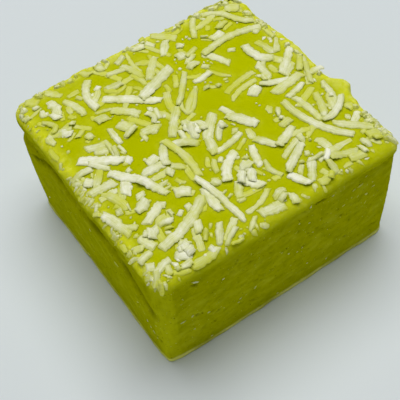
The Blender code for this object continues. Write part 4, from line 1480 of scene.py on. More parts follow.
@dataclass(frozen=True)
class GrainBlank:
    """A flat broken grain of coconut that every crumb and sliver is shaped from."""

    sides: int = 9
    top: float = 0.3
    dome: float = 0.2
    bumps: float = 0.2
    edge_soak: float = 0.9  # how much greener the edge is than the middle
    pale_reach: float = 0.25
    fibre_gap: float = 40.0  # keeps the fibres of one grain apart from the next one's

    def build(self) -> bmesh.types.BMesh:
        """Make the grain, one unit across and thick, standing on z = 0.

        Returns:
            Its mesh.
        """
        mesh = bmesh.new()
        bmesh.ops.create_cone(
            mesh, cap_ends=True, segments=self.sides, radius1=0.5, radius2=self.top, depth=1.0
        )
        bmesh.ops.translate(mesh, vec=(0.0, 0.0, 0.5), verts=mesh.verts)
        upper = [face for face in mesh.faces if face.normal.z > 0.99]
        bmesh.ops.poke(mesh, faces=upper, offset=self.dome)
        return mesh

    def roughen(self, body: bmesh.types.BMesh, draw: random.Random, uneven: float) -> None:
        """Break the grain's round outline.

        Args:
            body: Copy of the grain, which is changed.
            draw: Seeded source of its unevenness.
            uneven: How far the outline moves in and out.
        """
        reach = [1.0 + uneven * draw.uniform(-1.0, 1.0) for _ in range(self.sides)]
        for vert in body.verts:
            if math.hypot(vert.co.x, vert.co.y) > 0.1:
                heading = math.atan2(vert.co.y, vert.co.x) / math.tau % 1.0
                spread = reach[round(heading * self.sides) % self.sides]
                vert.co.x *= spread
                vert.co.y *= spread
            vert.co.z += self.bumps * draw.uniform(-1.0, 1.0) * vert.co.z

    def mark(self, body: bmesh.types.BMesh, soak: float, tone: float, size: float) -> None:
        """Write on a grain what its finish reads: its tint, paler in the middle, and its fibres.

        Args:
            body: The grain, still one unit across.
            soak: How much lime it has taken up.
            tone: How light it is, from -1 to 1.
            size: Its length in millimetres.
        """
        soak_layer = body.verts.layers.float.new("soak")
        tone_layer = body.verts.layers.float.new("tone")
        uv_layer = body.loops.layers.uv.new("fibre")
        for vert in body.verts:
            out = math.hypot(vert.co.x, vert.co.y) - self.pale_reach
            vert[soak_layer] = soak + self.edge_soak * out
            vert[tone_layer] = tone
        for face in body.faces:
            for loop in face.loops:
                spot, gap = loop.vert.co * size, self.fibre_gap
                loop[uv_layer].uv = (spot.x + gap * soak, spot.y + spot.z + gap * tone)


class Scatter:
    """Many bits of coconut in one piece, each shaped from a copy of the same blank."""

    name: str
    form: BlockForm
    blank: Blank | GrainBlank
    seed: int
    sharp: float  # degrees over which an edge stays sharp

    def bits(self, draw: random.Random) -> Iterable[Any]:
        """Choose the bits."""
        raise NotImplementedError

    def lay(self, body: bmesh.types.BMesh, bit: Any, draw: random.Random) -> None:
        """Shape a copy of the blank into one bit."""
        raise NotImplementedError

    def build(self) -> bmesh.types.BMesh:
        """Shape every bit and join them.

        Returns:
            One mesh that holds them all.
        """
        draw = random.Random(self.seed)
        blank = self.blank.build()
        joined = bmesh.new()
        for bit in self.bits(draw):
            body = blank.copy()
            self.lay(body, bit, draw)
            data = bpy.data.meshes.new(self.name)
            body.to_mesh(data)
            body.free()
            joined.from_mesh(data)
            bpy.data.meshes.remove(data)
        blank.free()
        return joined

    def dress(self, mesh: bmesh.types.BMesh, finish: "ShreddedCoconut") -> bpy.types.Object:
        """Give the bits their finish."""
        sharp = math.radians(self.sharp)
        return finish_piece(self.name, mesh, finish.material(), self.form.shift, sharp)


@dataclass
class Shreds(Scatter):
    """Many strips of coconut in one piece, each bent, twisted and torn in its own way."""

    name: str
    form: BlockForm
    laid: list[Laid]
    blank: Blank
    seed: int
    sharp: float = 55.0
    ribbon: float = 0.26 * MM  # what shows of a strand is thinner than its solid
    drop: float = 0.12 * MM
    thin_edge: float = 0.95
    end_reach: float = 0.3 * MM
    crown: float = 0.94
    tilt: float = 0.07
    twist: float = 0.12
    cup: float = 0.05 * MM
    lift: float = 0.15 * MM
    lift_from: float = 0.45  # share of the length from the end that stands up
    ragged: float = 0.14
    ragged_length: float = 0.6 * MM
    notch: float = 0.16
    notch_length: float = 2.1 * MM
    notch_span: tuple[float, float] = (0.2, 0.5)  # noise at which a notch starts and is full
    narrowings: tuple[float, ...] = (0.0, 0.0, 0.1, 0.2, 0.35, 0.55)
    narrowing_length: float = 1.5 * MM
    torn: float = 0.28 * MM
    torn_share: float = 0.12  # of the length, at each end
    torn_length: float = 0.45
    torn_corners: float = 0.35  # how much more of the torn end its corners lose
    ripple: float = 0.05 * MM
    ripple_length: float = 0.9 * MM
    soak_wander: float = 0.35
    soak_wander_length: float = 2.6 * MM
    soak_spread: float = 0.08
    soak_edge: float = 0.3
    soak_under: float = 0.15
    soak_less: float = 0.04
    fibre_gap: float = 170.0  # keeps the fibres of one strip apart from the next one's

    def draw_wear(self, draw: random.Random, laid: Laid, index: int) -> Wear:
        """Draw what sets one strip apart.

        Args:
            draw: Seeded source of the draws.
            laid: The strip and how it lies.
            index: Its number.

        Returns:
            Its wear.
        """
        lift = draw.uniform(0.0, self.lift)
        return Wear(
            tag=0.05 * index,
            tilt=draw.uniform(-self.tilt, self.tilt),
            twist=draw.uniform(-self.twist, self.twist),
            cup=draw.uniform(-self.cup, self.cup),
            lift=lift if laid.layer is Layer.TOP else 0.0,
            lifted_end=draw.choice((0.0, 1.0)),
            ends=(
                draw.choice(self.narrowings) * draw.choice((-1.0, 1.0)),
                draw.choice(self.narrowings) * draw.choice((-1.0, 1.0)),
            ),
            soak=draw.uniform(-self.soak_spread, self.soak_spread),
            tone=draw.uniform(-1.0, 1.0),
        )

    def outline(self, wear: Wear, across: float, along: float, length: float) -> float:
        """Say how much of its even width a strip has at a place on its torn outline.

        Args:
            wear: What sets the strip apart.
            across: Place across the strip, from -0.5 to 0.5.
            along: Distance from its first end.
            length: Its length.

        Returns:
            The share of the even width.
        """
        side = math.copysign(1.0, across)
        slice_place = wear.tag + 0.01 * side
        rag = wave(along, slice_place, 0.0, self.ragged_length)
        rag += 0.5 * wave(along, slice_place, 0.3, self.ragged_length / 2.7)
        notch = ease(*self.notch_span, wave(along, slice_place, 0.6, self.notch_length))
        full = 1.0 + 2.0 * self.ragged * rag - self.notch * notch
        for narrowing, away in zip(wear.ends, (along, length - along)):
            if narrowing * side > 0.0:
                full *= 1.0 - abs(narrowing) * (1.0 - ease(0.0, self.narrowing_length, away))
        return full

    def bits(self, draw: random.Random) -> Iterable[tuple[int, Laid]]:
        """Number the strips."""
        return enumerate(self.laid)

    def lay(self, body: bmesh.types.BMesh, bit: tuple[int, Laid], draw: random.Random) -> None:
        """Bend one blank into a strip as it lies.

        Args:
            body: Copy of the blank, which is changed.
            bit: The strip's number, and the strip and how it lies.
            draw: Seeded source of its wear.
        """
        index, laid = bit
        wear = self.draw_wear(draw, laid, index)
        strand = laid.strand
        length = strand.length()
        tag = wear.tag
        soak_layer = body.verts.layers.float.new("soak")
        tone_layer = body.verts.layers.float.new("tone")
        uv_layer = body.loops.layers.uv.new("fibre")
        for face in body.faces:
            for loop in face.loops:
                share, across, up = loop.vert.co
                wide = strand.wide * across + (up - 0.5) * 0.3 * math.copysign(1.0, across)
                loop[uv_layer].uv = (wide + self.fibre_gap * tag, share * length / MM)
        for vert in body.verts:
            share, across, up = vert.co
            along = share * length
            point, left = strand.way_point(share)
            ahead = Vector((left.y, -left.x, 0.0))
            wide = strand.width_at(share) * across * self.outline(wear, across, along, length)
            wide *= 1.0 + (self.crown - 1.0) * up
            angle = wear.tilt + wear.twist * (2.0 * share - 1.0)
            at_end = 1.0 - ease(0.0, self.end_reach, min(along, length - along))
            edge = max((2.0 * across) ** 4, at_end)
            high = up * self.ribbon * (1.0 - self.thin_edge * edge)
            high += wear.cup * (4.0 * across * across - 0.3)
            high += self.ripple * wave(along, wide + tag, 0.0, self.ripple_length)
            place = point + left * (wide * math.cos(angle) - high * math.sin(angle))
            near_end = 1.0 - ease(0.0, self.torn_share, min(share, 1.0 - share))
            if near_end > 0.0:
                outward = -1.0 if share < 0.5 else 1.0
                tear = self.torn * wave(across * 1.6, tag * 20.0, outward * 2.0, self.torn_length)
                tear -= self.torn_corners * self.torn * (2.0 * abs(across)) ** 4
                place += ahead * near_end * (wide * laid.slant + outward * tear)
            level = curve_at(laid.floor, share)[0] + strand.thickness
            level -= self.ribbon + self.drop
            level += abs(math.sin(angle)) * 0.3 * strand.width_at(share)
            away = abs(share - wear.lifted_end)
            level += wear.lift * ease(self.lift_from, 0.0, away) * abs(share - 0.5) * 2.0
            place.z = level + high * math.cos(angle) + wide * math.sin(angle)
            first, last = laid.soaks
            tint = wear.soak - self.soak_less + first + (last - first) * share
            tint += self.soak_wander * wave(along, tag, 0.9, self.soak_wander_length)
            tint += self.soak_edge * edge + self.soak_under * (1.0 - up)
            vert[soak_layer] = tint
            vert[tone_layer] = wear.tone
            vert.co = place


@dataclass(frozen=True)
class Crumb:
    """One flat crumb of coconut on the skin: its place and size in metres, and its tint."""

    x: float
    y: float
    size: float
    soak: float
    thickness: float


@dataclass
class Crumbs(Scatter):
    """Flat crumbs of coconut, half sunk in the skin between the strands and in the rim."""

    form: BlockForm
    strewing: Strewing
    blank: GrainBlank
    name: str = "coconut_crumbs"
    sharp: float = 40.0
    count: int = 120
    rim_count: int = 200
    lump_sizes: tuple[float, float] = (0.9 * MM, 2.0 * MM)
    lump_thickness: float = 0.5 * MM
    sizes: tuple[float, float] = (0.55 * MM, 1.5 * MM)
    thickness: float = 0.2 * MM
    lump_soaks: tuple[float, float] = (0.3, 0.9)
    soaks: tuple[float, float] = (0.1, 1.0)
    rim_soaks: tuple[float, float] = (0.3, 1.1)
    powers: tuple[float, float] = (1.8, 1.4)  # how much rarer large ones are, between and in the rim
    sink: float = 0.08 * MM
    uneven: float = 0.34
    long: tuple[float, float] = (0.9, 1.5)  # lengthwise stretch
    short: tuple[float, float] = (0.55, 0.9)
    lean: float = 0.12
    reach: float = 1.6 * MM
    clear: float = 0.15 * MM
    rim_width: float = 1.9 * MM
    step: float = 0.2 * MM
    smooth_from: float = 4.0 * MM  # from here back the left rim holds few crumbs
    smooth_share: float = 0.75
    bare_share: float = 0.85  # how many are left out of the bare patches
    clear_of_edge: float = 0.8 * MM
    in_rim_from: float = 0.35 * MM
    seed: int = 61

    def draw_size(self, draw: random.Random, power: float) -> float:
        """Draw a size; a greater power gives more small ones."""
        return self.sizes[0] + (self.sizes[1] - self.sizes[0]) * draw.random() ** power

    def is_free(self, x: float, y: float) -> bool:
        """Whether no strand lies over the place."""
        spot = Vector((x, y, 0.0))
        return self.strewing.pile.level(spot) - self.strewing.bare.level(spot) < self.clear

    def beside_strands(self, draw: random.Random) -> list[Crumb]:
        """Choose the crumbs that lie between the strands.

        Args:
            draw: Seeded source of the draws.

        Returns:
            The crumbs.
        """
        strands = [laid.strand for laid in self.strewing.shreds + self.strewing.flakes]
        found: list[Crumb] = []
        while len(found) < self.count:
            strand = draw.choice(strands)
            point, left = strand.way_point(draw.uniform(0.0, 1.0))
            away = strand.wide * MM / 2 + draw.uniform(0.0, self.reach)
            x, y, _ = point + left * (away * draw.choice((-1.0, 1.0)))
            soak = draw.uniform(*self.soaks)
            size = self.draw_size(draw, self.powers[0])
            left_out = self.strewing.is_bare(x, y) and draw.random() < self.bare_share
            inward = self.form.edge_distance(x, y)
            if inward > self.clear_of_edge and self.is_free(x, y) and not left_out:
                found.append(Crumb(x, y, size, soak, self.thickness))
        return found

    def in_rim(self, draw: random.Random) -> list[Crumb]:
        """Choose the crumbs that stick in the rim.

        Args:
            draw: Seeded source of the draws.

        Returns:
            The crumbs.
        """
        found: list[Crumb] = []
        sides, weights = zip(*RIM_CRUMBLE)
        crusty = [side for side, _ in RIM_CRUST]
        while len(found) < self.rim_count:
            chosen = draw.choices(sides, weights)[0]
            side, end = chosen.value
            x = draw.uniform(-self.form.width / 2, self.form.width / 2)
            y = draw.uniform(-self.form.depth / 2, self.form.depth / 2)
            inward = self.form.edge_distance(x, y)
            half = self.form.width / 2 if side else self.form.depth / 2
            is_near = x * side + y * end > half - 1.5 * self.rim_width
            smooth = side < 0 and y > self.smooth_from and draw.random() < self.smooth_share
            is_in = is_near and self.in_rim_from < inward < self.rim_width
            if not (is_in and self.is_free(x, y)):
                continue
            if chosen in crusty:
                size = draw.uniform(*self.lump_sizes)
                found.append(Crumb(x, y, size, draw.uniform(*self.lump_soaks), self.lump_thickness))
            elif not smooth:
                size = self.draw_size(draw, self.powers[1])
                found.append(Crumb(x, y, size, draw.uniform(*self.rim_soaks), self.thickness))
        return found

    def bits(self, draw: random.Random) -> list[Crumb]:
        """Choose every crumb."""
        return self.beside_strands(draw) + self.in_rim(draw)

    def lay(self, body: bmesh.types.BMesh, crumb: Crumb, draw: random.Random) -> None:
        """Shape one grain into a crumb and press it into the skin.

        Args:
            body: Copy of the grain, which is changed.
            crumb: The crumb.
            draw: Seeded source of its unevenness.
        """
        self.blank.roughen(body, draw, self.uneven)
        self.blank.mark(body, crumb.soak, draw.uniform(-1.0, 1.0), crumb.size / MM)
        long, short = draw.uniform(*self.long), draw.uniform(*self.short)
        heading = draw.uniform(0.0, math.tau)
        forward = Vector((math.cos(heading), math.sin(heading)))
        lean = draw.uniform(-self.lean, self.lean)
        level = self.form.skin_level(crumb.x, crumb.y)
        beside = (
            self.form.skin_level(crumb.x + self.step, crumb.y) - level,
            self.form.skin_level(crumb.x, crumb.y + self.step) - level,
        )
        slope = Vector(beside) / self.step
        slope /= max(1.0, slope.length)
        for vert in body.verts:
            ahead, aside, up = vert.co
            ahead *= long * crumb.size
            aside *= short * crumb.size
            off = ahead * forward + aside * Vector((-forward.y, forward.x))
            height = up * crumb.thickness - self.sink + lean * aside + slope.dot(off)
            vert.co = (crumb.x + off.x, crumb.y + off.y, level + height)


@dataclass(frozen=True)
class Sliver:
    """A sliver of coconut that the knife cut through, in millimetres and degrees."""

    side: Side
    along: float
    level: float
    length: float
    height: float
    turn: float
    soak: float


# Slivers that show on the two near faces: (along, level, length, height, turn, soak).
SEEN_SLIVERS: dict[Side, tuple[Place, ...]] = {
    Side.FRONT: (
        (-18.3, 24.3, 2.6, 0.6, -42.0, 0.1), (-13.2, 20.2, 0.7, 0.5, 20.0, 0.3),
        (-6.7, 10.2, 1.1, 0.4, 60.0, 0.4), (-9.9, 9.6, 0.7, 0.5, 10.0, 0.4),
        (-10.3, 8.6, 0.7, 0.4, -20.0, 0.4), (-16.5, 12.2, 0.8, 0.5, -20.0, 0.35),
        (-19.7, 14.1, 0.9, 0.5, 35.0, 0.3), (-21.5, 14.0, 1.3, 0.5, 5.0, 0.25),
        (-19.5, 9.0, 0.6, 0.4, 0.0, 0.5), (-23.3, 7.3, 0.7, 0.5, 0.0, 0.7),
        (-16.2, 1.9, 0.8, 0.5, 20.0, 0.35), (-1.4, 1.8, 0.8, 0.5, 0.0, 0.3),
        (10.0, 3.1, 0.7, 0.45, 25.0, 0.4), (4.7, 25.6, 0.9, 0.5, 60.0, 0.2),
        (9.5, 24.3, 0.9, 0.4, 10.0, 0.4), (4.6, 20.6, 0.7, 0.4, 0.0, 0.5),
        (5.5, 17.0, 0.9, 0.5, -40.0, 0.2), (2.4, 22.4, 0.6, 0.4, 30.0, 0.5),
        (2.3, 13.5, 0.6, 0.4, 10.0, 0.4), (0.4, 14.8, 0.7, 0.45, -20.0, 0.4),
        (3.4, 13.8, 0.6, 0.4, 50.0, 0.4), (5.2, 6.5, 0.8, 0.5, -30.0, 0.35),
        (15.8, 21.8, 1.6, 0.6, 15.0, 0.85), (14.4, 21.7, 1.0, 0.5, 40.0, 0.8),
        (17.7, 17.8, 1.4, 0.6, -25.0, 0.85), (17.0, 23.4, 1.0, 0.4, 0.0, 0.8),
        (19.2, 18.9, 1.2, 0.5, -10.0, 0.85), (12.2, 19.1, 1.0, 0.5, 20.0, 0.8),
        (-23.6, 26.1, 0.7, 0.5, 20.0, 0.3),
    ),
    Side.LEFT: (
        (-19.0, 10.1, 1.1, 0.45, 55.0, 0.4), (-21.0, 8.6, 1.3, 0.45, 50.0, 0.4),
        (-23.1, 8.1, 1.1, 0.4, 50.0, 0.5), (-20.0, 9.2, 0.7, 0.4, 40.0, 0.5),
        (-22.0, 7.7, 0.8, 0.4, 60.0, 0.5), (-10.5, 18.2, 1.8, 0.6, 10.0, 0.8),
        (19.1, 5.9, 0.6, 0.5, 0.0, 0.1), (-1.8, 18.3, 0.9, 0.5, 10.0, 0.5),
        (5.3, 1.6, 1.2, 0.6, 0.0, 0.8),
        (-16.2, 13.0, 0.6, 0.35, 0.0, 0.7), (8.4, 12.6, 0.7, 0.4, -20.0, 0.8),
    ),
}


@dataclass
class Slivers(Scatter):
    """Slivers of coconut that show in the cut faces."""

    form: BlockForm
    blank: GrainBlank
    name: str = "coconut_slivers"
    sharp: float = 40.0
    thickness: float = 0.22 * MM
    stand: float = 0.05 * MM
    uneven: float = 0.4
    soak: float = 0.35  # the knife has smeared fudge over them
    hidden_count: int = 16
    levels: tuple[float, float] = (1.0, 24.5)  # of the hidden ones, in millimetres, as are these
    lengths: tuple[float, float] = (0.6, 1.5)
    heights: tuple[float, float] = (0.4, 0.6)
    steepest: float = 70.0
    soaks: tuple[float, float] = (0.2, 0.8)
    seed: int = 83

    def bits(self, draw: random.Random) -> list[Sliver]:
        """Add slivers of the same kind on the faces that the picture doesn't show.

        Args:
            draw: Seeded source of the draws.

        Returns:
            Every sliver.
        """
        every = [Sliver(side, *row) for side, rows in SEEN_SLIVERS.items() for row in rows]
        for side in (Side.BACK, Side.RIGHT):
            reach = (self.form.depth if side.value[0] else self.form.width) / 2 / MM - 3.0
            for _ in range(self.hidden_count):
                along, level = draw.uniform(-reach, reach), draw.uniform(*self.levels)
                length, height = draw.uniform(*self.lengths), draw.uniform(*self.heights)
                turn = draw.uniform(-self.steepest, self.steepest)
                soak = draw.uniform(*self.soaks)
                every.append(Sliver(side, along, level, length, height, turn, soak))
        return every

    def lay(self, body: bmesh.types.BMesh, sliver: Sliver, draw: random.Random) -> None:
        """Shape one grain into a sliver and set it into its face.

        Args:
            body: Copy of the grain, which is changed.
            sliver: The sliver.
            draw: Seeded source of its unevenness.
        """
        self.blank.roughen(body, draw, self.uneven)
        self.blank.mark(body, self.soak + sliver.soak, draw.uniform(-1.0, 1.0), sliver.length)
        axis = 0 if sliver.side.value[0] else 1
        out = sliver.side.value[axis]
        half = (self.form.width, self.form.depth)[axis] / 2
        turn = Matrix.Rotation(math.radians(sliver.turn), 2)
        for vert in body.verts:
            flat = turn @ Vector((vert.co.x * sliver.length, vert.co.y * sliver.height))
            proud = self.stand - (1.0 - vert.co.z) * self.thickness
            place = Vector((0.0, 0.0, (sliver.level + flat.y) * MM))
            place[1 - axis] = (sliver.along + flat.x) * MM
            from_corner = place[1 - axis] + (self.form.depth, self.form.width)[axis] / 2
            chamfer = max(0.0, self.form.front_chamfer - from_corner) if out < 0 else 0.0
            place[axis] = out * (half - chamfer)
            place = self.form.sculpt(place)
            place[axis] += out * proud
            vert.co = place

    def build(self) -> bmesh.types.BMesh:
        """Set every sliver, and turn those outwards that the setting has turned inside out."""
        joined = super().build()
        bmesh.ops.recalc_face_normals(joined, faces=joined.faces)
        return joined


@dataclass(frozen=True)
class Stain:
    """A tint that shows in patches of noise, wherever an attribute of the mesh lets it."""

    attribute: str
    colour: str
    size: float
    starts: float
    full: float
    most: float
    stretch: tuple[float, float, float] = (1.0, 1.0, 1.0)


@dataclass(frozen=True)
class LimeFudge:
    """Lime fudge, poured and knife-cut: fatty sugar, smooth as wax, with a dull sheen.

    Light goes a little way in, so edges and thin lips glow yellower than the faces; the rim, the near
    chamfer and the foot line are also painted lighter as painted light. The knife has left drawn smears,
    pores and pale specks of sugar in the upright faces; pores and dents are painted darker as painted
    shade, and the cut faces are darkened overall as painted shade.
    """

    body: str = "#BDC600"
    deep: str = "#AFB700"
    roughness: tuple[float, float] = (0.42, 0.62)
    ior: float = 1.46
    specular: float = 0.0  # even the face seen at a low angle shows no sheen
    specular_tint: str = "#F0FF40"
    scatter: tuple[float, float] = (0.95, 0.45)  # in the poured top and in the cut faces
    scatter_depth: float = 1.2 * MM
    mottle_size: float = 7.0 * MM
    grain_size: float = 0.8 * MM
    streak_size: float = 3.0 * MM
    streak_stretch: tuple[float, float, float] = (0.6, 0.6, 1.8)
    relief: tuple[float, float] = (0.3, 0.7)  # strength in the poured top and in the cut faces
    relief_height: float = 0.1 * MM
    scatter_tint: tuple[float, float, float] = (1.0, 1.0, 0.15)
    stains: tuple[Stain, ...] = (
        # Cut-face stains: the knife's own mottling, smears and pale specks, with the colours set darker
        # than the faces' own as painted shade on the upright faces.
        Stain("cut", "#AFB200", 6.0 * MM, 0.1, 0.3, 0.9),
        Stain("cut", "#939A00", 2.6 * MM, 0.45, 0.68, 0.45, (0.8, 0.8, 1.2)),
        Stain("cut", "#868C00", 0.9 * MM, 0.46, 0.7, 0.35),
        Stain("cut", "#C6CC28", 3.0 * MM, 0.5, 0.72, 0.45, (0.8, 0.8, 1.3)),
        # Painted highlight: the near chamfer painted lighter, as light from the front-left would show it.
        Stain("chamfer", "#C6CC10", 1.2 * MM, 0.2, 0.6, 0.75, (1.3, 1.3, 0.3)),
        # Painted shade: dents, nicks and cracks darkened by their depth, as shade in them would.
        Stain("pit", "#5F6400", 1.0 * MM, 0.1, 0.5, 0.8),
        Stain("cut", "#D6DB7C", 0.55 * MM, 0.66, 0.74, 0.6),
        # Painted shade: dark dots stand for the shade inside the pores.
        Stain("cut", "#5C6200", 0.6 * MM, 0.35, 0.28, 0.75),
        # Painted highlight: a pale line along the foot, where the burr would catch the light.
        Stain("foot", "#E9ED7C", 3.0 * MM, 0.1, 0.55, 1.0),
        # The torn rim's own paler crust, painted brighter still as painted light on the rim.
        Stain("rim", "#D4DA28", 1.6 * MM, 0.25, 0.45, 1.0),
        Stain("rim", "#E2E66C", 0.9 * MM, 0.52, 0.7, 0.6),
        Stain("far_rim", "#DDE27C", 1.4 * MM, 0.42, 0.6, 0.6),
        Stain("dust", "#CDD334", 0.9 * MM, 0.3, 0.7, 0.6),
    )

    def stained(
        self,
        tree: bpy.types.NodeTree,
        place: bpy.types.NodeSocket,
        colour: bpy.types.NodeSocket,
    ) -> bpy.types.NodeSocket:
        """Lay every stain over a colour.

        Args:
            tree: The finish's node tree.
            place: Where on the block each point lies.
            colour: The colour without stains.

        Returns:
            The stained colour.
        """
        for index, stain in enumerate(self.stains):
            scale = [value / stain.size for value in stain.stretch]
            drawn = add_node(tree, "Mapping", {"Vector": place, "Scale": scale}).outputs[0]
            spots = {"Vector": drawn, "W": 3.0 * index, "Scale": 1.0, "Detail": 2.0}
            cloud = add_node(tree, "TexNoise", spots, noise_dimensions="4D").outputs["Fac"]
            span = {"From Min": stain.starts, "From Max": stain.full, "To Max": stain.most}
            patches = add_node(tree, "MapRange", {"Value": cloud, **span}).outputs["Result"]
            share = add_node(tree, "Attribute", attribute_name=stain.attribute).outputs["Fac"]
            both = {0: share, 1: patches}
            amount = add_node(tree, "Math", both, operation="MULTIPLY", use_clamp=True).outputs[0]
            colours = {"Factor": amount, 6: colour, 7: linear(stain.colour)}
            colour = add_node(tree, "Mix", colours, data_type="RGBA").outputs[2]
        return colour

    def material(self) -> bpy.types.Material:
        """Make the finish.

        Returns:
            The material.
        """
        made, tree, shader = new_finish("waxy_lime_fudge")
        place = add_node(tree, "TexCoord").outputs["Object"]
        soft = {"Vector": place, "Detail": 4.0, "Roughness": 0.6}
        mottle = add_node(tree, "TexNoise", {"Scale": 1.0 / self.mottle_size, **soft}).outputs["Fac"]
        colours = {"Factor": mottle, 6: linear(self.deep), 7: linear(self.body)}
        toned = add_node(tree, "Mix", colours, data_type="RGBA").outputs[2]
        stained = self.stained(tree, place, toned)
        span = {"From Min": 0.3, "From Max": 0.7}
        span |= {"To Min": self.roughness[0], "To Max": self.roughness[1]}
        gloss = add_node(tree, "MapRange", {"Value": mottle, **span}).outputs["Result"]
        fine = {**soft, "Scale": 1.0 / self.grain_size, "Detail": 3.0}
        grain = add_node(tree, "TexNoise", fine).outputs["Fac"]
        drawn = add_node(tree, "Mapping", {"Vector": place, "Scale": self.streak_stretch}).outputs[0]
        long = {"Vector": drawn, "Scale": 1.0 / self.streak_size, "Detail": 3.0}
        streaks = add_node(tree, "TexNoise", long).outputs["Fac"]
        both = {0: streaks, 1: 0.5, 2: grain}
        relief = add_node(tree, "Math", both, operation="MULTIPLY_ADD").outputs[0]
        cut = add_node(tree, "Attribute", attribute_name="cut").outputs["Fac"]
        span = {"Value": cut, "To Min": self.relief[0], "To Max": self.relief[1]}
        strength = add_node(tree, "MapRange", span).outputs["Result"]
        rough = {"Height": relief, "Strength": strength, "Distance": self.relief_height}
        bump = add_node(tree, "Bump", rough).outputs[0]
        span = {"Value": cut, "To Min": self.scatter[0], "To Max": self.scatter[1]}
        scatter = add_node(tree, "MapRange", span).outputs["Result"]
        feed(tree, shader, {
            "Base Color": stained,
            "Roughness": gloss,
            "Normal": bump,
            "IOR": self.ior,
            "Specular IOR Level": self.specular,
            "Specular Tint": linear(self.specular_tint),
            "Subsurface Weight": scatter,
            "Subsurface Radius": self.scatter_tint,
            "Subsurface Scale": self.scatter_depth,
        })
        return made


@dataclass(frozen=True)
class ShreddedCoconut:
    """Dried shredded coconut: white, fibrous lengthwise, faintly see-through where it is wet.

    A strand that has lain in the warm fudge takes up its green.
    """

    dry: str = "#F7F9E8"
    damp: str = "#DBE09C"
    soaked: str = "#D3D94E"
    shade: str = "#D3D8AE"
    roughness: float = 0.55
    ior: float = 1.45
    specular: float = 0.35
    scatter: float = 0.25
    scatter_tint: tuple[float, float, float] = (1.0, 1.0, 0.9)
    scatter_depth: float = 0.2 * MM
    fibre_width: float = 0.26  # millimetres; real fibres are finer than the picture can show
    fibre_length: float = 4.0
    patch_size: float = 1.1 * MM
    patch_strength: float = 1.3
    vein_strength: float = 0.45  # how much less a fibre soaks up than what lies between
    to_damp: tuple[float, float] = (-0.35, 0.3)  # soaking at which it turns damp, then soaked
    to_soaked: tuple[float, float] = (0.25, 0.85)
    line_span: tuple[float, float] = (0.58, 0.36)
    line_strength: float = 0.3
    tone_strength: float = 0.12
    relief: float = 0.35
    relief_height: float = 0.1 * MM

    def material(self) -> bpy.types.Material:
        """Make the finish.

        Returns:
            The material.
        """
        made = bpy.data.materials.get("shredded_coconut")
        if made:
            return made
        made, tree, shader = new_finish("shredded_coconut")
        flat = add_node(tree, "UVMap", uv_map="fibre").outputs[0]
        scale = (1.0 / self.fibre_width, 1.0 / self.fibre_length, 1.0)
        drawn = add_node(tree, "Mapping", {"Vector": flat, "Scale": scale}).outputs[0]
        thin = {"Vector": drawn, "Scale": 1.0, "Detail": 2.0, "Roughness": 0.6}
        fibre = add_node(tree, "TexNoise", thin).outputs["Fac"]
        place = add_node(tree, "TexCoord").outputs["Object"]
        broad = {"Vector": place, "Scale": 1.0 / self.patch_size, "Detail": 5.0, "Roughness": 0.7}
        patches = add_node(tree, "TexNoise", broad).outputs["Fac"]
        soak = add_node(tree, "Attribute", attribute_name="soak").outputs["Fac"]
        terms = {0: patches, 1: self.patch_strength, 2: -self.patch_strength / 2}
        centred = add_node(tree, "Math", terms, operation="MULTIPLY_ADD").outputs[0]
        uneven = add_node(tree, "Math", {0: soak, 1: centred}, operation="ADD").outputs[0]
        terms = {0: fibre, 1: -self.vein_strength, 2: uneven}
        veined = add_node(tree, "Math", terms, operation="MULTIPLY_ADD").outputs[0]
        span = {"Value": veined, "From Min": self.to_damp[0], "From Max": self.to_damp[1]}
        to_damp = add_node(tree, "MapRange", span).outputs["Result"]
        span = {"Value": veined, "From Min": self.to_soaked[0], "From Max": self.to_soaked[1]}
        to_soaked = add_node(tree, "MapRange", span).outputs["Result"]
        colours = {"Factor": to_damp, 6: linear(self.dry), 7: linear(self.damp)}
        damp = add_node(tree, "Mix", colours, data_type="RGBA").outputs[2]
        colours = {"Factor": to_soaked, 6: damp, 7: linear(self.soaked)}
        soaked = add_node(tree, "Mix", colours, data_type="RGBA").outputs[2]
        tone = add_node(tree, "Attribute", attribute_name="tone").outputs["Fac"]
        span = {"From Min": self.line_span[0], "From Max": self.line_span[1]}
        span |= {"Value": fibre, "To Max": self.line_strength}
        lines = add_node(tree, "MapRange", span).outputs["Result"]
        terms = {0: tone, 1: self.tone_strength, 2: lines}
        shaded = add_node(tree, "Math", terms, operation="MULTIPLY_ADD", use_clamp=True).outputs[0]
        colours = {"Factor": shaded, 6: soaked, 7: linear(self.shade)}
        lined = add_node(tree, "Mix", colours, data_type="RGBA", blend_type="MULTIPLY").outputs[2]
        rough = {"Height": fibre, "Strength": self.relief, "Distance": self.relief_height}
        feed(tree, shader, {
            "Base Color": lined,
            "Normal": add_node(tree, "Bump", rough).outputs[0],
            "Roughness": self.roughness,
            "IOR": self.ior,
            "Specular IOR Level": self.specular,
            "Subsurface Weight": self.scatter,
            "Subsurface Radius": self.scatter_tint,
            "Subsurface Scale": self.scatter_depth,
        })
        return made


@dataclass(frozen=True)
class SoftLight:
    """A large soft lamp that shines at the middle of the block."""

    name: str
    place: tuple[float, float, float]
    size: float
    power: float
    colour: str

    def build(self) -> None:
        """Hang the lamp."""
        lamp = bpy.data.lights.new(self.name, "AREA")
        lamp.shape = "DISK"
        lamp.size = self.size
        lamp.energy = self.power
        lamp.color = linear(self.colour)[:3]
        item = bpy.data.objects.new(self.name, lamp)
        bpy.context.scene.collection.objects.link(item)
        item.location = self.place
        aim = Vector((0.0, 0.0, 0.02)) - Vector(self.place)
        item.rotation_euler = aim.to_track_quat("-Z", "Y").to_euler()
        log.info("%s: %.1f W", self.name, self.power)


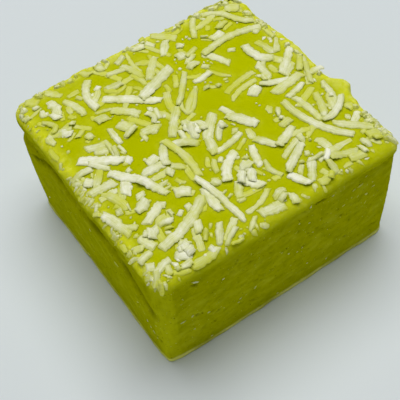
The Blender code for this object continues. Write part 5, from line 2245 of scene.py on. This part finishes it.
@dataclass(frozen=True)
class Viewpoint:
    """The camera, placed from the corners of the block, in metres and before the frame's shift."""

    place: tuple[float, float, float] = (-50.15 * MM, -83.52 * MM, 138.8 * MM)
    right: tuple[float, float, float] = (0.8156, -0.57528, -0.06209)
    down: tuple[float, float, float] = (-0.49778, -0.6429, -0.58215)
    forward: tuple[float, float, float] = (0.29498, 0.50571, -0.81071)
    lens: float = 74.1
    sensor: float = 36.0

    def build(self, shift: tuple[float, float]) -> None:
        """Put the camera up.

        Args:
            shift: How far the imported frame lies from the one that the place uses.
        """
        data = bpy.data.cameras.new("camera")
        data.lens = self.lens
        data.sensor_width = self.sensor
        data.clip_start = 0.01
        camera = bpy.data.objects.new("camera", data)
        bpy.context.scene.collection.objects.link(camera)
        axes = Matrix((self.right, -Vector(self.down), -Vector(self.forward))).transposed()
        where = Vector(self.place) + Vector((*shift, 0.0))
        camera.matrix_world = Matrix.Translation(where) @ axes.to_4x4()
        bpy.context.scene.camera = camera


@dataclass(frozen=True)
class Studio:
    """Pale floor, soft light and the sky over them."""

    floor_size: float = 4.0
    floor_colours: tuple[str, str] = ("#D8E2E9", "#DCE4EA")
    floor_cloud: float = 9.0
    floor_roughness: float = 0.7
    sky_colour: str = "#EEF3F6"
    sky_strength: float = 0.075
    lamps: tuple[SoftLight, ...] = (
        SoftLight("window", (0.09, 0.13, 0.65), 0.62, 4.38, "#FFFDF8"),
        SoftLight("fill", (-0.46, -0.5, 0.22), 0.6, 0.56, "#FFFAF2"),
    )

    def build(self) -> None:
        """Lay the floor and set the light."""
        mesh = bmesh.new()
        bmesh.ops.create_grid(mesh, x_segments=8, y_segments=8, size=self.floor_size / 2)
        data = bpy.data.meshes.new("floor")
        mesh.to_mesh(data)
        mesh.free()
        data.materials.append(self.floor_finish())
        floor = bpy.data.objects.new("floor", data)
        bpy.context.scene.collection.objects.link(floor)
        floor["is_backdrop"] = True
        for lamp in self.lamps:
            lamp.build()
        world = bpy.data.worlds.new("sky")
        world.use_nodes = True
        sky = world.node_tree.nodes["Background"]
        sky.inputs["Color"].default_value = linear(self.sky_colour)
        sky.inputs["Strength"].default_value = self.sky_strength
        bpy.context.scene.world = world
        bpy.context.scene.view_settings.view_transform = "Standard"

    def floor_finish(self) -> bpy.types.Material:
        """Make the floor's smooth pale card.

        Returns:
            The material.
        """
        made, tree, shader = new_finish("pale_card")
        place = add_node(tree, "TexCoord").outputs["Object"]
        cloud = add_node(tree, "TexNoise", {"Vector": place, "Scale": self.floor_cloud}).outputs["Fac"]
        colours = {"Factor": cloud, 6: linear(self.floor_colours[0]), 7: linear(self.floor_colours[1])}
        tone = add_node(tree, "Mix", colours, data_type="RGBA").outputs[2]
        feed(tree, shader, {"Base Color": tone, "Roughness": self.floor_roughness})
        return made


def save_sizes(packed: Any, shown: Any) -> None:
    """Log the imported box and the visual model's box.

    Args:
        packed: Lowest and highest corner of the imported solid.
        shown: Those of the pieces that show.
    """
    boxes = {
        "cad": [list(corner) for corner in packed],
        "visual": [list(corner) for corner in shown],
    }
    for name, (low, high) in boxes.items():
        log.info("%s box: %s to %s", name, np.round(low, 5), np.round(high, 5))


def main() -> None:
    """Build the fudge square and its studio."""
    logging.basicConfig(level=logging.INFO, format="%(name)s: %(message)s")
    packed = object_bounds()
    form = BlockForm()
    strewing = Strewing(form)
    strewing.strew()
    block = FudgeBlock(form, strewing)
    block.dress(block.build(), LimeFudge())
    small = Blank(length=3.0, edge_segments=1, cuts=9)
    broad = Blank(length=4.0, cuts=11, rows=(-0.4, 0.4))
    grain = GrainBlank()
    torn = 0.3 * MM
    crumpled = {
        "tilt": 0.2, "twist": 0.3, "cup": 0.12 * MM, "ragged": 0.2, "notch": 0.25, "torn": torn,
        "ripple": 0.13 * MM, "ripple_length": 1.7 * MM, "soak_edge": 0.1, "soak_under": 0.3,
    }
    pieces: tuple[Scatter, ...] = (
        Shreds("coconut_shreds", form, strewing.shreds, Blank(cuts=30), seed=11),
        Shreds("coconut_flakes", form, strewing.flakes, small, seed=12, torn=torn),
        Shreds("coconut_buried", form, strewing.buried, small, seed=15, drop=0.16 * MM, torn=torn),
        Shreds("coconut_tufts", form, strewing.heaped, small, seed=14, drop=0.0, **crumpled),
        Shreds("coconut_sunk", form, strewing.sunk, broad, seed=13, drop=0.0, soak_wander=0.7),
        Crumbs(form, strewing, grain),
        Slivers(form, grain),
    )
    for piece in pieces:
        piece.dress(piece.build(), ShreddedCoconut())
    Studio().build()
    Viewpoint().build(form.shift)
    save_sizes(packed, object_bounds())


if __name__ == "__main__":
    main()
